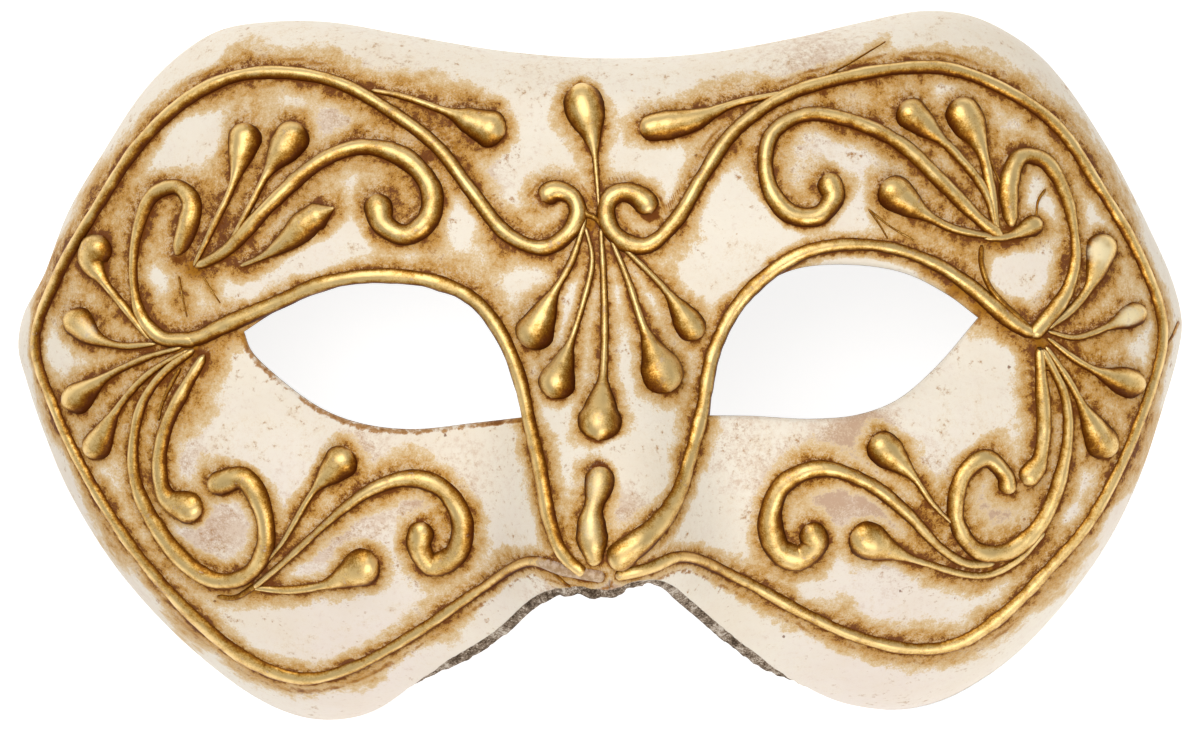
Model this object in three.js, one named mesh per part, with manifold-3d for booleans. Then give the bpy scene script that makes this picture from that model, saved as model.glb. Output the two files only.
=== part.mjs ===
// Colombina half mask: a moulded papier-mache shell with two eye holes and raised piped scrollwork.
// It lies face up on its rim. +X is to the right of someone looking at the face, +Y is towards the
// forehead and +Z stands out of the face. Millimetres.

import * as THREE from "three";
import { mergeVertices } from "three/addons/utils/BufferGeometryUtils.js";
import Module from "manifold-3d";

// Driving dimensions of the shell

const WALL = 2.2;
const BROW_HEIGHT = 47;
const MIDDLE = { x: -0.79, y: -0.22 };
const WRAP = { reach: 92.5, depth: 50.8, steepest: 0.99 };
const FOREHEAD = { start: 15, lean: 0.0055 };
const CHEEK = { start: -5, span: 48, lean: 28, power: 1.6 };
const NOSE = { root: 18, tip: -26, rise: 12, tuck: 0.09, width: 12.5, flare: 0.06 };
const SWELLS = [
  { x: 38, y: 21, wide: 26, high: 11, rise: 2.5 },
  { x: 42, y: -24, wide: 20, high: 13, rise: 3 },
  { x: 35, y: 3, wide: 24, high: 11, rise: -5 },
];

// The rolled rim: its width in front and at the temples, how far it drops all round, at the cheeks
// and at the nose, and where the changes start and end

const RIM = { width: 7.5, sideWidth: 3.2, drop: 9, cheekDrop: 13.5, noseDrop: 1 };
const RIM_NARROWS = { from: 58, to: 86 };
const CHEEK_FALLS = { from: -20, to: -48 };

// The bevelled cut edge below the nose: how far it sets the face back, and where it starts and ends

const CUT_EDGE = 1.7;
const CUT_DOWN = { from: -26, to: -36 };
const CUT_ACROSS = { from: 22, to: 38 };

// How finely the shell is divided: spokes from each eye hole to the rim, the shares of the upper lid
// at which the spokes to the hump and to the middle line start, and rings round the hole

const SPOKES = { crown: 9, brow: 7, middle: 13, lip: 8, cheek: 9 };
const LID_SHARES = { hump: 0.36, middle: 0.64 };
const FLAT_RINGS = 3;
const ROLL_RINGS = 2;

// Section of a piped bead, a trapezium: its foot and its flat top as shares of its half width, how
// far it is sunk and how far it stands out. A wider bead is sunk deeper and stands out further.

const BEAD = { foot: 1.12, top: 0.52, sink: 0.6, sinkShare: 0.3, rise: 0.2, riseShare: 0.8 };
const SECTION_CORNERS = 4;
const THIN_END = 0.5;
const ROUND_END_TURN = 1.2;

// Sections of a bead lie a step apart where it runs straight. A turn counts as extra length.

const BEAD_STEP = 9;
const TURN_LENGTH = 5;
const FEWEST_SECTIONS = 4;

// A drop: how much thinner its stem starts and the share at which it is full, the length of its head
// for its half width, the most of the drop that the head takes up, and the distance of its sections

const DROP = { start: 0.6, fullStem: 0.33, head: 3.4, longestHead: 0.75, step: 9, fewest: 3 };
const WIDTHS_OF_DROP = 12;

// Steps of a curve between two of its points, the reach of a slope's probe, and how near to the cut
// edge or to each other two points count as one

const STEPS_PER_POINT = 12;
const PROBE = 0.3;
const AT_EDGE = 0.1;
const SAME_POINT = 1e-3;

const clamp01 = (value) => Math.min(1, Math.max(0, value));
const lerp = (a, b, t) => a + (b - a) * t;

function smooth(from, to, value) {
  const t = clamp01((value - from) / (to - from));
  return t * t * (3 - 2 * t);
}

// A smooth curve through a few plan points, as many small steps.
function curveThrough(points, closed = false) {
  const vectors = points.map(([x, y]) => new THREE.Vector3(x, y, 0));
  const curve = new THREE.CatmullRomCurve3(vectors, closed, "centripetal");
  const spans = closed ? points.length : points.length - 1;
  return curve.getPoints(STEPS_PER_POINT * spans).map((p) => [p.x, p.y]);
}

// Running length along a line of plan points.
function runningLength(line) {
  const at = [0];
  for (let i = 1; i < line.length; i += 1) {
    at.push(at[i - 1] + Math.hypot(line[i][0] - line[i - 1][0], line[i][1] - line[i - 1][1]));
  }
  return at;
}

// The points that lie at given shares, from 0 to 1, of a line's length.
function pointsAt(line, shares) {
  const at = runningLength(line);
  let i = 1;
  return shares.map((share) => {
    const target = share * at[at.length - 1];
    while (i < line.length - 1 && at[i] < target) i += 1;
    const t = (target - at[i - 1]) / (at[i] - at[i - 1]);
    return [lerp(line[i - 1][0], line[i][0], t), lerp(line[i - 1][1], line[i][1], t)];
  });
}

const evenShares = (count) => Array.from({ length: count + 1 }, (_, i) => i / count);

// Shares of a line's length for the sections of a bead, closer together where the line turns.
function sectionShares(line, step) {
  const at = runningLength(line);
  const heading = line.slice(1).map(([x, y], i) => Math.atan2(y - line[i][1], x - line[i][0]));
  const effort = [0];
  for (let i = 1; i < line.length; i += 1) {
    const change = i > 1 ? heading[i - 1] - heading[i - 2] : 0;
    const turn = Math.abs(Math.atan2(Math.sin(change), Math.cos(change)));
    effort.push(effort[i - 1] + at[i] - at[i - 1] + TURN_LENGTH * turn);
  }
  const count = Math.max(FEWEST_SECTIONS, Math.round(effort.at(-1) / step));
  let i = 1;
  return evenShares(count).map((share) => {
    const target = share * effort.at(-1);
    while (i < line.length - 1 && effort[i] < target) i += 1;
    const t = (target - effort[i - 1]) / (effort[i] - effort[i - 1]);
    return lerp(at[i - 1], at[i], t) / at.at(-1);
  });
}

// Outline in plan, counter-clockwise from the top of the middle line

const TOP = [0, 46.7];
const LEFT_HUMP = [-50, 53.3];
const LEFT_TEMPLE = [-90.3, 4.2];
const LEFT_CHEEK = [-42, -53.8];
const LOW = [0, -35.4];
const RIGHT_CHEEK = [43.5, -53.8];
const RIGHT_TEMPLE = [88.7, 5];
const RIGHT_HUMP = [49.5, 53.2];
const OUTLINE = [
  TOP, [-15, 48.1], [-30, 50.9], [-41, 53], LEFT_HUMP,
  [-58, 52.2], [-64, 48.8], [-70, 43.1], [-76.8, 33.2], [-81.9, 25], [-86, 15.2], [-89.4, 9.2],
  LEFT_TEMPLE, [-89, -1], [-86.7, -8], [-82.6, -18.1], [-75, -30.7], [-65, -42], [-55, -50],
  [-48, -53.2], LEFT_CHEEK, [-36, -52.4], [-25, -46.3], [-17, -41.6], [-10, -35.8], [-4.8, -34.7],
  LOW, [3.8, -34], [7.6, -34], [11, -36.8], [18, -43], [26.5, -49.1], [36, -52.7],
  RIGHT_CHEEK, [50, -52.8], [57, -49.4], [65, -43.1], [75, -31], [81, -20], [85.4, -7.9], [88, 0.4],
  RIGHT_TEMPLE, [87.4, 11], [84, 18.9], [77.1, 32.4], [70, 43.1], [65, 48], [57, 52.3],
  RIGHT_HUMP, [40, 51.6], [30, 49.4], [15, 47.1],
];
const outline = curveThrough(OUTLINE, true);

// The part of the outline between two of its named points.
function outlineFrom(from, to) {
  const start = OUTLINE.indexOf(from) * STEPS_PER_POINT;
  const end = (OUTLINE.indexOf(to) || OUTLINE.length) * STEPS_PER_POINT;
  return outline.slice(start, end + 1);
}

// Each half of the mask: its named rim points, and the edge of its eye hole from the outer corner
// over the top to the inner corner, and back below.
const HALVES = [
  {
    isLeft: true,
    hump: LEFT_HUMP,
    temple: LEFT_TEMPLE,
    cheek: LEFT_CHEEK,
    upperLid: [[-54.9, 6], [-50, 9], [-43, 12], [-37, 13.2], [-30, 12.8], [-24, 11.4], [-19, 7.9],
      [-15.5, 2.2], [-13.2, -4.5], [-12.9, -7.7]],
    lowerLid: [[-12.9, -7.7], [-20, -8.4], [-29.6, -9.2], [-37.2, -8.2], [-43.3, -5.8],
      [-50, -0.8], [-53.8, 3.1], [-54.9, 6]],
  },
  {
    isLeft: false,
    hump: RIGHT_HUMP,
    temple: RIGHT_TEMPLE,
    cheek: RIGHT_CHEEK,
    upperLid: [[56.7, 6.2], [52, 9.8], [45, 13.3], [35, 14.6], [28, 13.7], [23, 10.8], [19, 5.4],
      [16.5, -1.5], [15.6, -7.9]],
    lowerLid: [[15.6, -7.9], [22, -8.1], [31, -8.7], [38, -8.2], [44, -6.1], [50, -1.3],
      [56.7, 6.2]],
  },
];

// The nearest point of the outline to a plan point, and how far away it is.
function nearestRim(x, y) {
  const best = { distance: Infinity };
  for (let i = 1; i < outline.length; i += 1) {
    const [ax, ay] = outline[i - 1];
    const dx = outline[i][0] - ax;
    const dy = outline[i][1] - ay;
    const t = clamp01(((x - ax) * dx + (y - ay) * dy) / (dx * dx + dy * dy || 1));
    const distance = Math.hypot(x - ax - dx * t, y - ay - dy * t);
    if (distance < best.distance) Object.assign(best, { distance, x: ax + dx * t, y: ay + dy * t, dx, dy });
  }
  return best;
}

// How much of the rim is the plain cut edge below the nose, from 0 to 1.
function cutShare(x, y) {
  const across = smooth(CUT_ACROSS.from, CUT_ACROSS.to, Math.abs(x - MIDDLE.x));
  return smooth(CUT_DOWN.from, CUT_DOWN.to, y) * (1 - across);
}

// The end of the front face at a point of the outline: the outline itself, or inside the cut edge.
function faceEnd(x, y) {
  const { dx, dy } = nearestRim(x, y);
  const inset = (CUT_EDGE * cutShare(x, y)) / Math.hypot(dx, dy);
  return [x - dy * inset, y + dx * inset];
}

function rimWidth(x) {
  const narrow = smooth(RIM_NARROWS.from, RIM_NARROWS.to, Math.abs(x - MIDDLE.x));
  return lerp(RIM.width, RIM.sideWidth, narrow);
}

// The rim rolls back as a quarter ellipse, level with the face inside and upright at the edge.
function rimRoll(x, y) {
  const inside = clamp01(nearestRim(x, y).distance / rimWidth(x));
  const side = lerp(RIM.drop, RIM.cheekDrop, smooth(CHEEK_FALLS.from, CHEEK_FALLS.to, y));
  const drop = lerp(side, RIM.noseDrop, cutShare(x, y));
  return drop * (1 - Math.sqrt(1 - (1 - inside) ** 2));
}

// Height of the face: the wrap round the head, the lean of the forehead and the cheeks, the nose
// ridge, and the swells of brow, cheek and eye socket, less the roll of the rim.
function faceHeight(x, y) {
  const out = Math.abs(x - MIDDLE.x);
  const round = Math.min(WRAP.steepest, (out / WRAP.reach) ** 2);
  const wrap = WRAP.depth * (1 - Math.sqrt(1 - round));
  const forehead = FOREHEAD.lean * Math.max(0, y - FOREHEAD.start) ** 2;
  const cheek = CHEEK.lean * (Math.max(0, CHEEK.start - y) / CHEEK.span) ** CHEEK.power;
  const nose = Math.exp(-((out / (NOSE.width + NOSE.flare * Math.max(0, -y))) ** 3));
  const ridge = NOSE.rise * smooth(NOSE.root, NOSE.tip, y) - NOSE.tuck * Math.max(0, NOSE.tip - y) ** 2;
  let height = BROW_HEIGHT - wrap - forehead - cheek * (1 - nose) + ridge * nose;
  for (const swell of SWELLS) {
    const across = (out - swell.x) / swell.wide;
    const up = (y - swell.y) / swell.high;
    height += swell.rise * Math.exp(-across * across - up * up);
  }
  return height - rimRoll(x, y);
}

const onFace = (x, y) => new THREE.Vector3(x, y, faceHeight(x, y));

function faceNormal(x, y) {
  const alongX = faceHeight(x + PROBE, y) - faceHeight(x - PROBE, y);
  const alongY = faceHeight(x, y + PROBE) - faceHeight(x, y - PROBE);
  return new THREE.Vector3(-alongX, -alongY, 2 * PROBE).normalize();
}

// Shares of a spoke's length at which its rings lie. Towards the rim they follow the roll.
function ringShares(length, width, rolled) {
  const shares = [];
  for (let i = 0; i < FLAT_RINGS; i += 1) shares.push((i / FLAT_RINGS) * (1 - width / length));
  for (let i = 0; i <= ROLL_RINGS; i += 1) {
    const turn = (i / ROLL_RINGS) * (Math.PI / 2);
    shares.push(1 - (width / length) * (1 - Math.sin(turn)));
  }
  const last = shares.length - 1;
  return shares.map((share, i) => lerp(i / last, share, rolled));
}

// One half of the front face in plan: a grid of spokes from the eye hole to the rim and the middle.
function halfGrid(half) {
  const edge = (from, to) => (half.isLeft ? outlineFrom(to, from).reverse() : outlineFrom(from, to));
  const rollShare = RIM.width / (TOP[1] - LOW[1]);
  const middle = [];
  for (let i = ROLL_RINGS; i > 0; i -= 1) {
    middle.push(rollShare * (1 - Math.sin((i / ROLL_RINGS) * (Math.PI / 2))));
  }
  const plain = SPOKES.middle - ROLL_RINGS;
  for (let i = 0; i <= plain; i += 1) middle.push(lerp(rollShare, 1, i / plain));
  const outer = [
    pointsAt(edge(half.temple, half.hump), evenShares(SPOKES.crown)).slice(0, -1),
    pointsAt(edge(half.hump, TOP), evenShares(SPOKES.brow)).slice(0, -1),
    pointsAt([TOP, LOW], middle).slice(0, -1),
    pointsAt(edge(LOW, half.cheek), evenShares(SPOKES.lip)).slice(0, -1),
    pointsAt(edge(half.cheek, half.temple), evenShares(SPOKES.cheek)).slice(0, -1),
  ].flat();
  const upperShares = [
    ...evenShares(SPOKES.crown).slice(0, -1).map((t) => lerp(0, LID_SHARES.hump, t)),
    ...evenShares(SPOKES.brow).slice(0, -1).map((t) => lerp(LID_SHARES.hump, LID_SHARES.middle, t)),
    ...evenShares(SPOKES.middle).slice(0, -1).map((t) => lerp(LID_SHARES.middle, 1, t)),
  ];
  const lowerShares = evenShares(SPOKES.lip + SPOKES.cheek).slice(0, -1);
  const inner = [
    ...pointsAt(curveThrough(half.upperLid), upperShares),
    ...pointsAt(curveThrough(half.lowerLid), lowerShares),
  ];
  return outer.map((end, i) => {
    const [ex, ey] = inner[i];
    const onMiddle = i > SPOKES.crown + SPOKES.brow && i < SPOKES.crown + SPOKES.brow + SPOKES.middle;
    const [ox, oy] = onMiddle ? end : faceEnd(...end);
    const length = Math.hypot(ox - ex, oy - ey);
    const rolled = onMiddle ? 1 - smooth(0, 2 * RIM.width, nearestRim(ox, oy).distance) : 1;
    return ringShares(length, rimWidth(ox), rolled).map((t) => [lerp(ex, ox, t), lerp(ey, oy, t)]);
  });
}

// The front face as triangles, both halves joined along the middle line.
function frontFace() {
  const places = [];
  const index = [];
  for (const half of HALVES) {
    const grid = halfGrid(half);
    const start = places.length / 3;
    const rings = grid[0].length;
    for (const [x, y] of grid.flat()) places.push(x, y, faceHeight(x, y));
    for (let i = 0; i < grid.length; i += 1) {
      for (let j = 1; j < rings; j += 1) {
        const a = start + i * rings + j - 1;
        const b = start + ((i + 1) % grid.length) * rings + j - 1;
        if (half.isLeft) index.push(a, b, a + 1, a + 1, b, b + 1);
        else index.push(a, a + 1, b, a + 1, b + 1, b);
      }
    }
  }
  const face = new THREE.BufferGeometry();
  face.setAttribute("position", new THREE.Float32BufferAttribute(places, 3));
  face.setIndex(index);
  const joined = mergeVertices(face, SAME_POINT);
  joined.computeVertexNormals();
  return joined;
}

// Edges that only one triangle of a face uses, in that triangle's direction.
function openEdges(index) {
  const edges = new Map();
  for (let i = 0; i < index.length; i += 3) {
    for (let k = 0; k < 3; k += 1) {
      const a = index[i + k];
      const b = index[i + ((k + 1) % 3)];
      if (!edges.delete(`${b} ${a}`)) edges.set(`${a} ${b}`, [a, b]);
    }
  }
  return [...edges.values()];
}

// The shell: the front face, the back face one wall behind it, and the edges between them. Below the
// nose the cut edge is bevelled, so there the back face reaches further down than the front.
function makeShell() {
  const face = frontFace();
  const front = face.getAttribute("position");
  const normal = face.getAttribute("normal");
  const index = [...face.getIndex().array];
  const count = front.count;
  const places = [];
  for (let i = 0; i < count; i += 1) places.push(front.getX(i), front.getY(i), Math.max(0, front.getZ(i)));
  for (let i = 0; i < count; i += 1) {
    const x = front.getX(i);
    const y = front.getY(i);
    const rim = nearestRim(x, y);
    const cut = cutShare(rim.x, rim.y);
    const isCut = cut > 0 && rim.distance < CUT_EDGE * cut + AT_EDGE;
    const back = new THREE.Vector3(x, y, front.getZ(i));
    back.addScaledVector(new THREE.Vector3(normal.getX(i), normal.getY(i), normal.getZ(i)), -WALL);
    if (isCut) {
      back.x = lerp(back.x, rim.x, cut);
      back.y = lerp(back.y, rim.y, cut);
    }
    places.push(back.x, back.y, Math.max(0, back.z));
  }
  const sides = [];
  for (const [a, b] of openEdges(index)) sides.push(b, a, a + count, b, a + count, b + count);
  const behind = [];
  for (let i = 0; i < index.length; i += 3) {
    behind.push(index[i] + count, index[i + 2] + count, index[i + 1] + count);
  }
  return { places, index: [...index, ...behind, ...sides] };
}

// A bead piped along a plan line. Its half width runs evenly through the given widths. The first end
// is low and the last is round.
function makeBead({ line, widths, step = BEAD_STEP }) {
  const fine = curveThrough(line);
  const shares = sectionShares(fine, step);
  const spine = pointsAt(fine, shares);
  const width = (share) => {
    const at = share * (widths.length - 1);
    const i = Math.min(widths.length - 2, Math.floor(at));
    return lerp(widths[i], widths[i + 1], at - i);
  };
  const sections = spine.map(([x, y], i) => {
    const [px, py] = spine[Math.max(0, i - 1)];
    const [nx, ny] = spine[Math.min(spine.length - 1, i + 1)];
    const along = Math.hypot(nx - px, ny - py);
    const half = width(shares[i]);
    const high = BEAD.rise + BEAD.riseShare * half;
    return { x, y, dx: (nx - px) / along, dy: (ny - py) / along, half, high };
  });
  sections[0].high *= THIN_END;
  const end = sections.at(-1);
  const out = end.half * Math.sin(ROUND_END_TURN);
  const less = Math.cos(ROUND_END_TURN);
  sections.push({ ...end, x: end.x + end.dx * out, y: end.y + end.dy * out,
    half: end.half * less, high: end.high * less });
  const places = [];
  for (const { x, y, dx, dy, half, high } of sections) {
    const up = faceNormal(x, y);
    const low = -BEAD.sink - BEAD.sinkShare * half;
    for (const [across, height] of [
      [-BEAD.foot, low], [BEAD.foot, low], [BEAD.top, high], [-BEAD.top, high],
    ]) {
      const point = onFace(x - dy * half * across, y + dx * half * across);
      places.push(...point.addScaledVector(up, height).toArray());
    }
  }
  const index = [];
  for (let i = 1; i < sections.length; i += 1) {
    for (let k = 0; k < SECTION_CORNERS; k += 1) {
      const a = (i - 1) * SECTION_CORNERS + k;
      const b = (i - 1) * SECTION_CORNERS + ((k + 1) % SECTION_CORNERS);
      index.push(a, b, a + SECTION_CORNERS, b, b + SECTION_CORNERS, a + SECTION_CORNERS);
    }
  }
  for (let k = 2; k < SECTION_CORNERS; k += 1) {
    const last = (sections.length - 1) * SECTION_CORNERS;
    index.push(0, k, k - 1, last, last + k - 1, last + k);
  }
  return { places, index };
}

// A drop: a thin stem that swells into a round head.
function drop(stem, head, ...line) {
  const length = runningLength(curveThrough(line)).at(-1);
  const swelling = Math.min(DROP.longestHead, (DROP.head * head) / length);
  const widths = evenShares(WIDTHS_OF_DROP).map((share) => {
    const thin = stem * lerp(DROP.start, 1, clamp01(share / DROP.fullStem));
    return lerp(thin, head, smooth(1 - swelling, 1, share));
  });
  return { line, widths, step: length / Math.max(DROP.fewest, 1 + Math.round(length / DROP.step)) };
}

const band = (widths, ...line) => ({ line, widths });

// The scrollwork, from the brow down. Every line runs from its low end to its round end.

const RIM_BORDERS = [
  band([1.3, 1.0, 0.9, 0.85, 0.85, 0.75, 0.65, 0.65, 0.7, 0.85, 0.7, 0.65, 0.7],
    [-9.3, 25], [-7.5, 26.4], [-4.9, 25.8], [-3.8, 23.3], [-5, 20.4], [-9, 17.9], [-14.4, 19.9],
    [-20, 26.8], [-25, 33.5], [-32.7, 39.5], [-40, 43.6], [-48, 45.3], [-55.5, 44.9], [-62.5, 41.9],
    [-70, 35.4], [-76.8, 25.9], [-83.5, 15], [-87.2, 5], [-84.4, -5], [-79.1, -16.3],
    [-72.3, -27.2], [-63.2, -37.8], [-55, -44.4], [-47.4, -47.1], [-40, -45.7], [-30, -40.5],
    [-20, -34], [-12, -29.5], [-6.5, -31], [-1.5, -31.9]),
  band([1.45, 1.05, 0.9, 0.85, 0.85, 0.8, 0.65, 0.65, 0.7, 0.8, 0.75, 0.75, 0.7],
    [7.3, 22.8], [6.2, 24.7], [3.5, 26.1], [1.3, 25.4], [0.4, 23.4], [1, 20.7], [3.2, 18.5], [6.6, 18],
    [10.9, 21.6], [15.2, 28.4], [20, 35], [27.7, 40.3], [36, 42.8], [45.4, 44.3], [53, 44.1],
    [62.1, 40.5], [69.5, 35], [75, 26.9], [81.9, 15], [85.3, 3.8], [81.8, -9], [73.8, -24.7],
    [67.2, -32.2], [60, -39.2], [53, -43.5], [46.5, -44.2], [37.8, -42.2], [30, -38.6], [20, -33],
    [11, -29.2], [6, -30.8], [1.5, -31.8]),
];
const EYE_BORDERS = [
  band([0.8, 1.1, 1.0, 0.95, 0.95, 1.0, 0.95, 0.9, 0.95, 0.85, 0.95, 0.9, 0.8],
    [-67, 4.9], [-62, 5.2], [-58.4, 6.8], [-50, 10.2], [-43, 13], [-35, 14.1], [-26, 13.1],
    [-20, 10.3], [-16, 5.3], [-13.2, -1.5], [-11.7, -8.5], [-10.1, -16], [-8.9, -23.2],
    [-7, -28.4], [-4.4, -31]),
  band([0.9, 1.1, 0.95, 0.8, 0.75, 0.85, 0.95, 0.95, 0.9, 0.9, 0.9, 0.9, 1.4, 1.95],
    [65.4, 3.4], [62.5, 5], [55, 11.4], [50, 14.6], [43, 17.1], [35, 17.5], [29, 15.9],
    [21.2, 10], [16.5, 2], [14.4, -7.4], [12.4, -14.4], [10.2, -20.4], [6.8, -24.9], [1.6, -29]),
];
const BROW_SCROLLS = [
  band([0.6, 0.95, 1.0, 1.0, 1.1, 1.3, 1.45, 1.4, 1.3],
    [-62, 16], [-57.5, 18.3], [-50, 25.7], [-42.3, 31.9], [-36, 33.7], [-29.7, 31.7], [-26, 27],
    [-26.6, 22.4], [-30, 20.2], [-33.4, 22], [-34.1, 24.6]),
  band([0.8, 0.95, 1.0, 1.0, 0.95, 0.95, 1.0, 1.1, 1.25, 1.3],
    [60.5, 18.5], [57.1, 21.1], [51.7, 26.6], [45.4, 32.7], [37.8, 36.4], [30.8, 37.4],
    [25.7, 34.4], [24.9, 27.6], [28, 22.6], [32.5, 22], [34.9, 24.8], [34.4, 26.8]),
  band([1.0, 1.4, 1.1, 0.9, 0.65, 0.55, 0.7, 1.0, 1.0],
    [-64.9, 17.9], [-63.2, 22.2], [-62.6, 26], [-64.8, 28.2], [-68.5, 27], [-71.2, 20.5],
    [-71.6, 12.9], [-70.4, 8.3], [-67.5, 5.3], [-63, 4.9]),
  band([1.0, 1.25, 1.2, 1.0, 0.8, 0.6, 0.8, 1.1, 1.1],
    [62, 20], [61.8, 26.5], [63.6, 30.5], [67.2, 30], [70.2, 25.4], [71.6, 19.5], [71.8, 14.5],
    [70.3, 9.8], [68, 6.6], [65.6, 3.9]),
];
const BROW_DROPS = [
  drop(0.5, 2.3, [-62.3, 16.2], [-59.3, 22], [-56.3, 28], [-54.2, 35.5]),
  drop(0.5, 2.4, [-56.8, 19.3], [-53.5, 25.1], [-50.6, 30.4], [-47, 35.4]),
  drop(0.5, 2.4, [-34.8, 42.3], [-30, 41.2], [-24, 39], [-17, 36.1]),
  drop(0.35, 2.8, [-0.6, 23], [-0.9, 28.5], [-1.4, 34], [-2.8, 40]),
  band([0.4, 0.45, 0.5, 0.5, 0.6, 0.95, 1.5, 1.85, 1.9, 1.75],
    [27.5, 40.7], [20, 39.2], [14, 36.9], [7.4, 35.8]),
  drop(0.6, 2.1, [59.6, 19.4], [58.2, 25], [54, 30.8], [47, 37.4]),
  drop(0.7, 2.4, [59.8, 19.3], [58.9, 26], [57.4, 32.5], [54.9, 37.4]),
  drop(0.6, 2.35, [59.2, 18.4], [53, 19.8], [48.3, 22.3], [44.1, 25.4]),
  drop(0.5, 1.3, [57.8, 18.2], [61.6, 18.5], [65.4, 20.1]),
  band([0.3, 0.4, 0.6, 1.1, 1.7, 1.95, 1.8, 0.3],
    [-55.2, 16], [-51.5, 17.5], [-47.5, 20.1], [-44.3, 22.8], [-41, 24.4]),
];
const NOSE_RAYS = [
  drop(0.5, 2.45, [-2.7, 22.4], [-3.4, 20], [-5, 15.6], [-7.8, 10.8], [-10.7, 5.1]),
  drop(0.45, 2.3, [-2.7, 20.8], [-1.8, 16], [-3.3, 9.3], [-7.5, -2.6]),
  drop(0.55, 2.7, [-0.4, 20.6], [-0.1, 12], [-0.2, 2], [-1.1, -8.6]),
  drop(0.5, 2.6, [1, 19.3], [3.4, 13.2], [5.8, 5.5], [8.7, -1.8]),
  drop(0.45, 2.1, [1.8, 18.8], [4.7, 16], [9.1, 11.3], [13.1, 5.4]),
  band([1.9, 1.95, 1.75, 1.35, 1.15, 1.4, 1.8, 2.05, 2.0, 1.7, 1.2],
    [-1.2, -15.3], [-1.3, -17.8], [-1.9, -20.2], [-2.5, -22.6], [-2.6, -25], [-2.3, -28.8]),
];
const TEMPLE_DROPS = [
  drop(0.55, 2, [-69.5, 5.2], [-72.8, 9.6], [-76.4, 14.2], [-78.2, 17.2], [-77.4, 19.1]),
  drop(0.5, 2, [-68.5, 4.4], [-73.8, 4.2], [-78, 5.6], [-80.5, 8]),
  drop(0.5, 1.95, [-64.5, 3.8], [-70, 2.3], [-76, -0.4], [-80.9, -3.8]),
  drop(0.5, 2, [-63.4, 3.4], [-69.4, 0], [-74, -4.7], [-77.9, -11]),
  drop(0.95, 2, [-61, 2.6], [-64, -2.3], [-67.2, -8.5], [-68.3, -14.5], [-67.2, -19], [-63.9, -20.7]),
  drop(0.6, 2.1, [67.3, 4.3], [71.2, 7.3], [74.3, 11.4], [76, 16.6]),
  drop(0.45, 1.65, [67.4, 3.9], [71.5, 2.9], [76.5, 4.4], [81, 6.4]),
  drop(0.5, 2, [67.3, 2.9], [71.5, -0.4], [75.5, -2.6], [80.2, -4.3]),
  drop(0.5, 2.3, [67, 1.6], [70.4, -3.6], [73, -8.5], [75.6, -13.3]),
  drop(0.95, 1.5, [66, 1.6], [66.2, -3], [66.5, -8], [66.4, -12.4], [65.6, -16], [64.2, -18]),
];
const CHEEK_SCROLLS = [
  band([0.5, 0.6, 0.65, 0.75, 0.95, 1.1, 1.1, 1.05, 1.2, 1.4, 1.5],
    [-62.6, 3.4], [-67.3, 0], [-70.6, -4.5], [-72.1, -10], [-72.1, -16], [-69.8, -22], [-64.7, -29],
    [-60, -31.8], [-55.6, -31.3], [-52.4, -27.2], [-52.6, -20.8], [-55.4, -16.3], [-59.2, -17]),
  band([0.55, 0.6, 0.75, 0.95, 1.1, 1.15, 1.1, 1.1, 1.05],
    [66.3, 1.3], [68, -1.8], [69.8, -6], [70.2, -12], [68.1, -20.9], [65.2, -26.2], [60.5, -29.6],
    [55.9, -29.2], [52.8, -24], [54.2, -17.4], [57.6, -15.2], [60.5, -18], [60.8, -19.4]),
  band([0.45, 0.5, 0.55, 0.9, 1.2, 1.4, 1.5, 1.5],
    [-54.3, -33], [-49.9, -29.5], [-40, -21], [-35, -17.9], [-29.5, -16.7], [-24.8, -18.6],
    [-22.2, -23.5], [-23.4, -28.4], [-27.2, -29.8], [-28.9, -26.8], [-28.5, -25]),
  band([0.45, 0.6, 0.8, 0.95, 0.95, 1.2, 1.4, 1.8, 1.4],
    [58.6, -31.3], [54.5, -31.2], [50.5, -28.8], [45, -23], [39, -18.4], [32, -16.3], [26.4, -18.8],
    [24.5, -24], [25.8, -28.6], [29, -29.8], [31.4, -27.4], [30.9, -26.3]),
];
const CHEEK_DROPS = [
  drop(0.45, 2.05, [-52.3, -29.2], [-49.7, -26.2], [-44.6, -18.3], [-40.4, -14]),
  drop(0.5, 2.25, [-54.3, -33], [-49, -33.4], [-43.5, -32.7], [-37.4, -30]),
  drop(0.45, 2.3, [52.2, -25], [49.2, -21.9], [46.2, -17.6], [41.7, -13.2]),
  drop(0.45, 2.4, [66.4, -26.8], [62.6, -30.7], [57, -33.1], [47.5, -30.8], [38.9, -27.2]),
];

// The whole mask as one solid, moved so that the middle of its outline is over the origin.

const wasm = await Module();
wasm.setup();

function toSolid({ places, index }) {
  return new wasm.Manifold(new wasm.Mesh({
    numProp: 3,
    vertProperties: new Float32Array(places),
    triVerts: new Uint32Array(index),
  }));
}

let solid = toSolid(makeShell());
for (const bead of [
  ...RIM_BORDERS, ...EYE_BORDERS, ...BROW_SCROLLS, ...BROW_DROPS, ...NOSE_RAYS, ...TEMPLE_DROPS,
  ...CHEEK_SCROLLS, ...CHEEK_DROPS,
]) {
  solid = solid.add(toSolid(makeBead(bead)));
}
const mesh = solid.getMesh();
const geometry = new THREE.BufferGeometry();
geometry.setAttribute("position", new THREE.BufferAttribute(mesh.vertProperties, 3));
geometry.setIndex(new THREE.BufferAttribute(mesh.triVerts, 1));
geometry.computeVertexNormals();

const gesso = new THREE.MeshStandardMaterial({ color: 0xe9dcc4, roughness: 0.5, metalness: 0 });
const mask = new THREE.Mesh(geometry, gesso);
mask.name = "colombina_mask";
mask.position.set(-MIDDLE.x, -MIDDLE.y, 0);

const group = new THREE.Group();
group.add(mask);
export default group;
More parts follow.
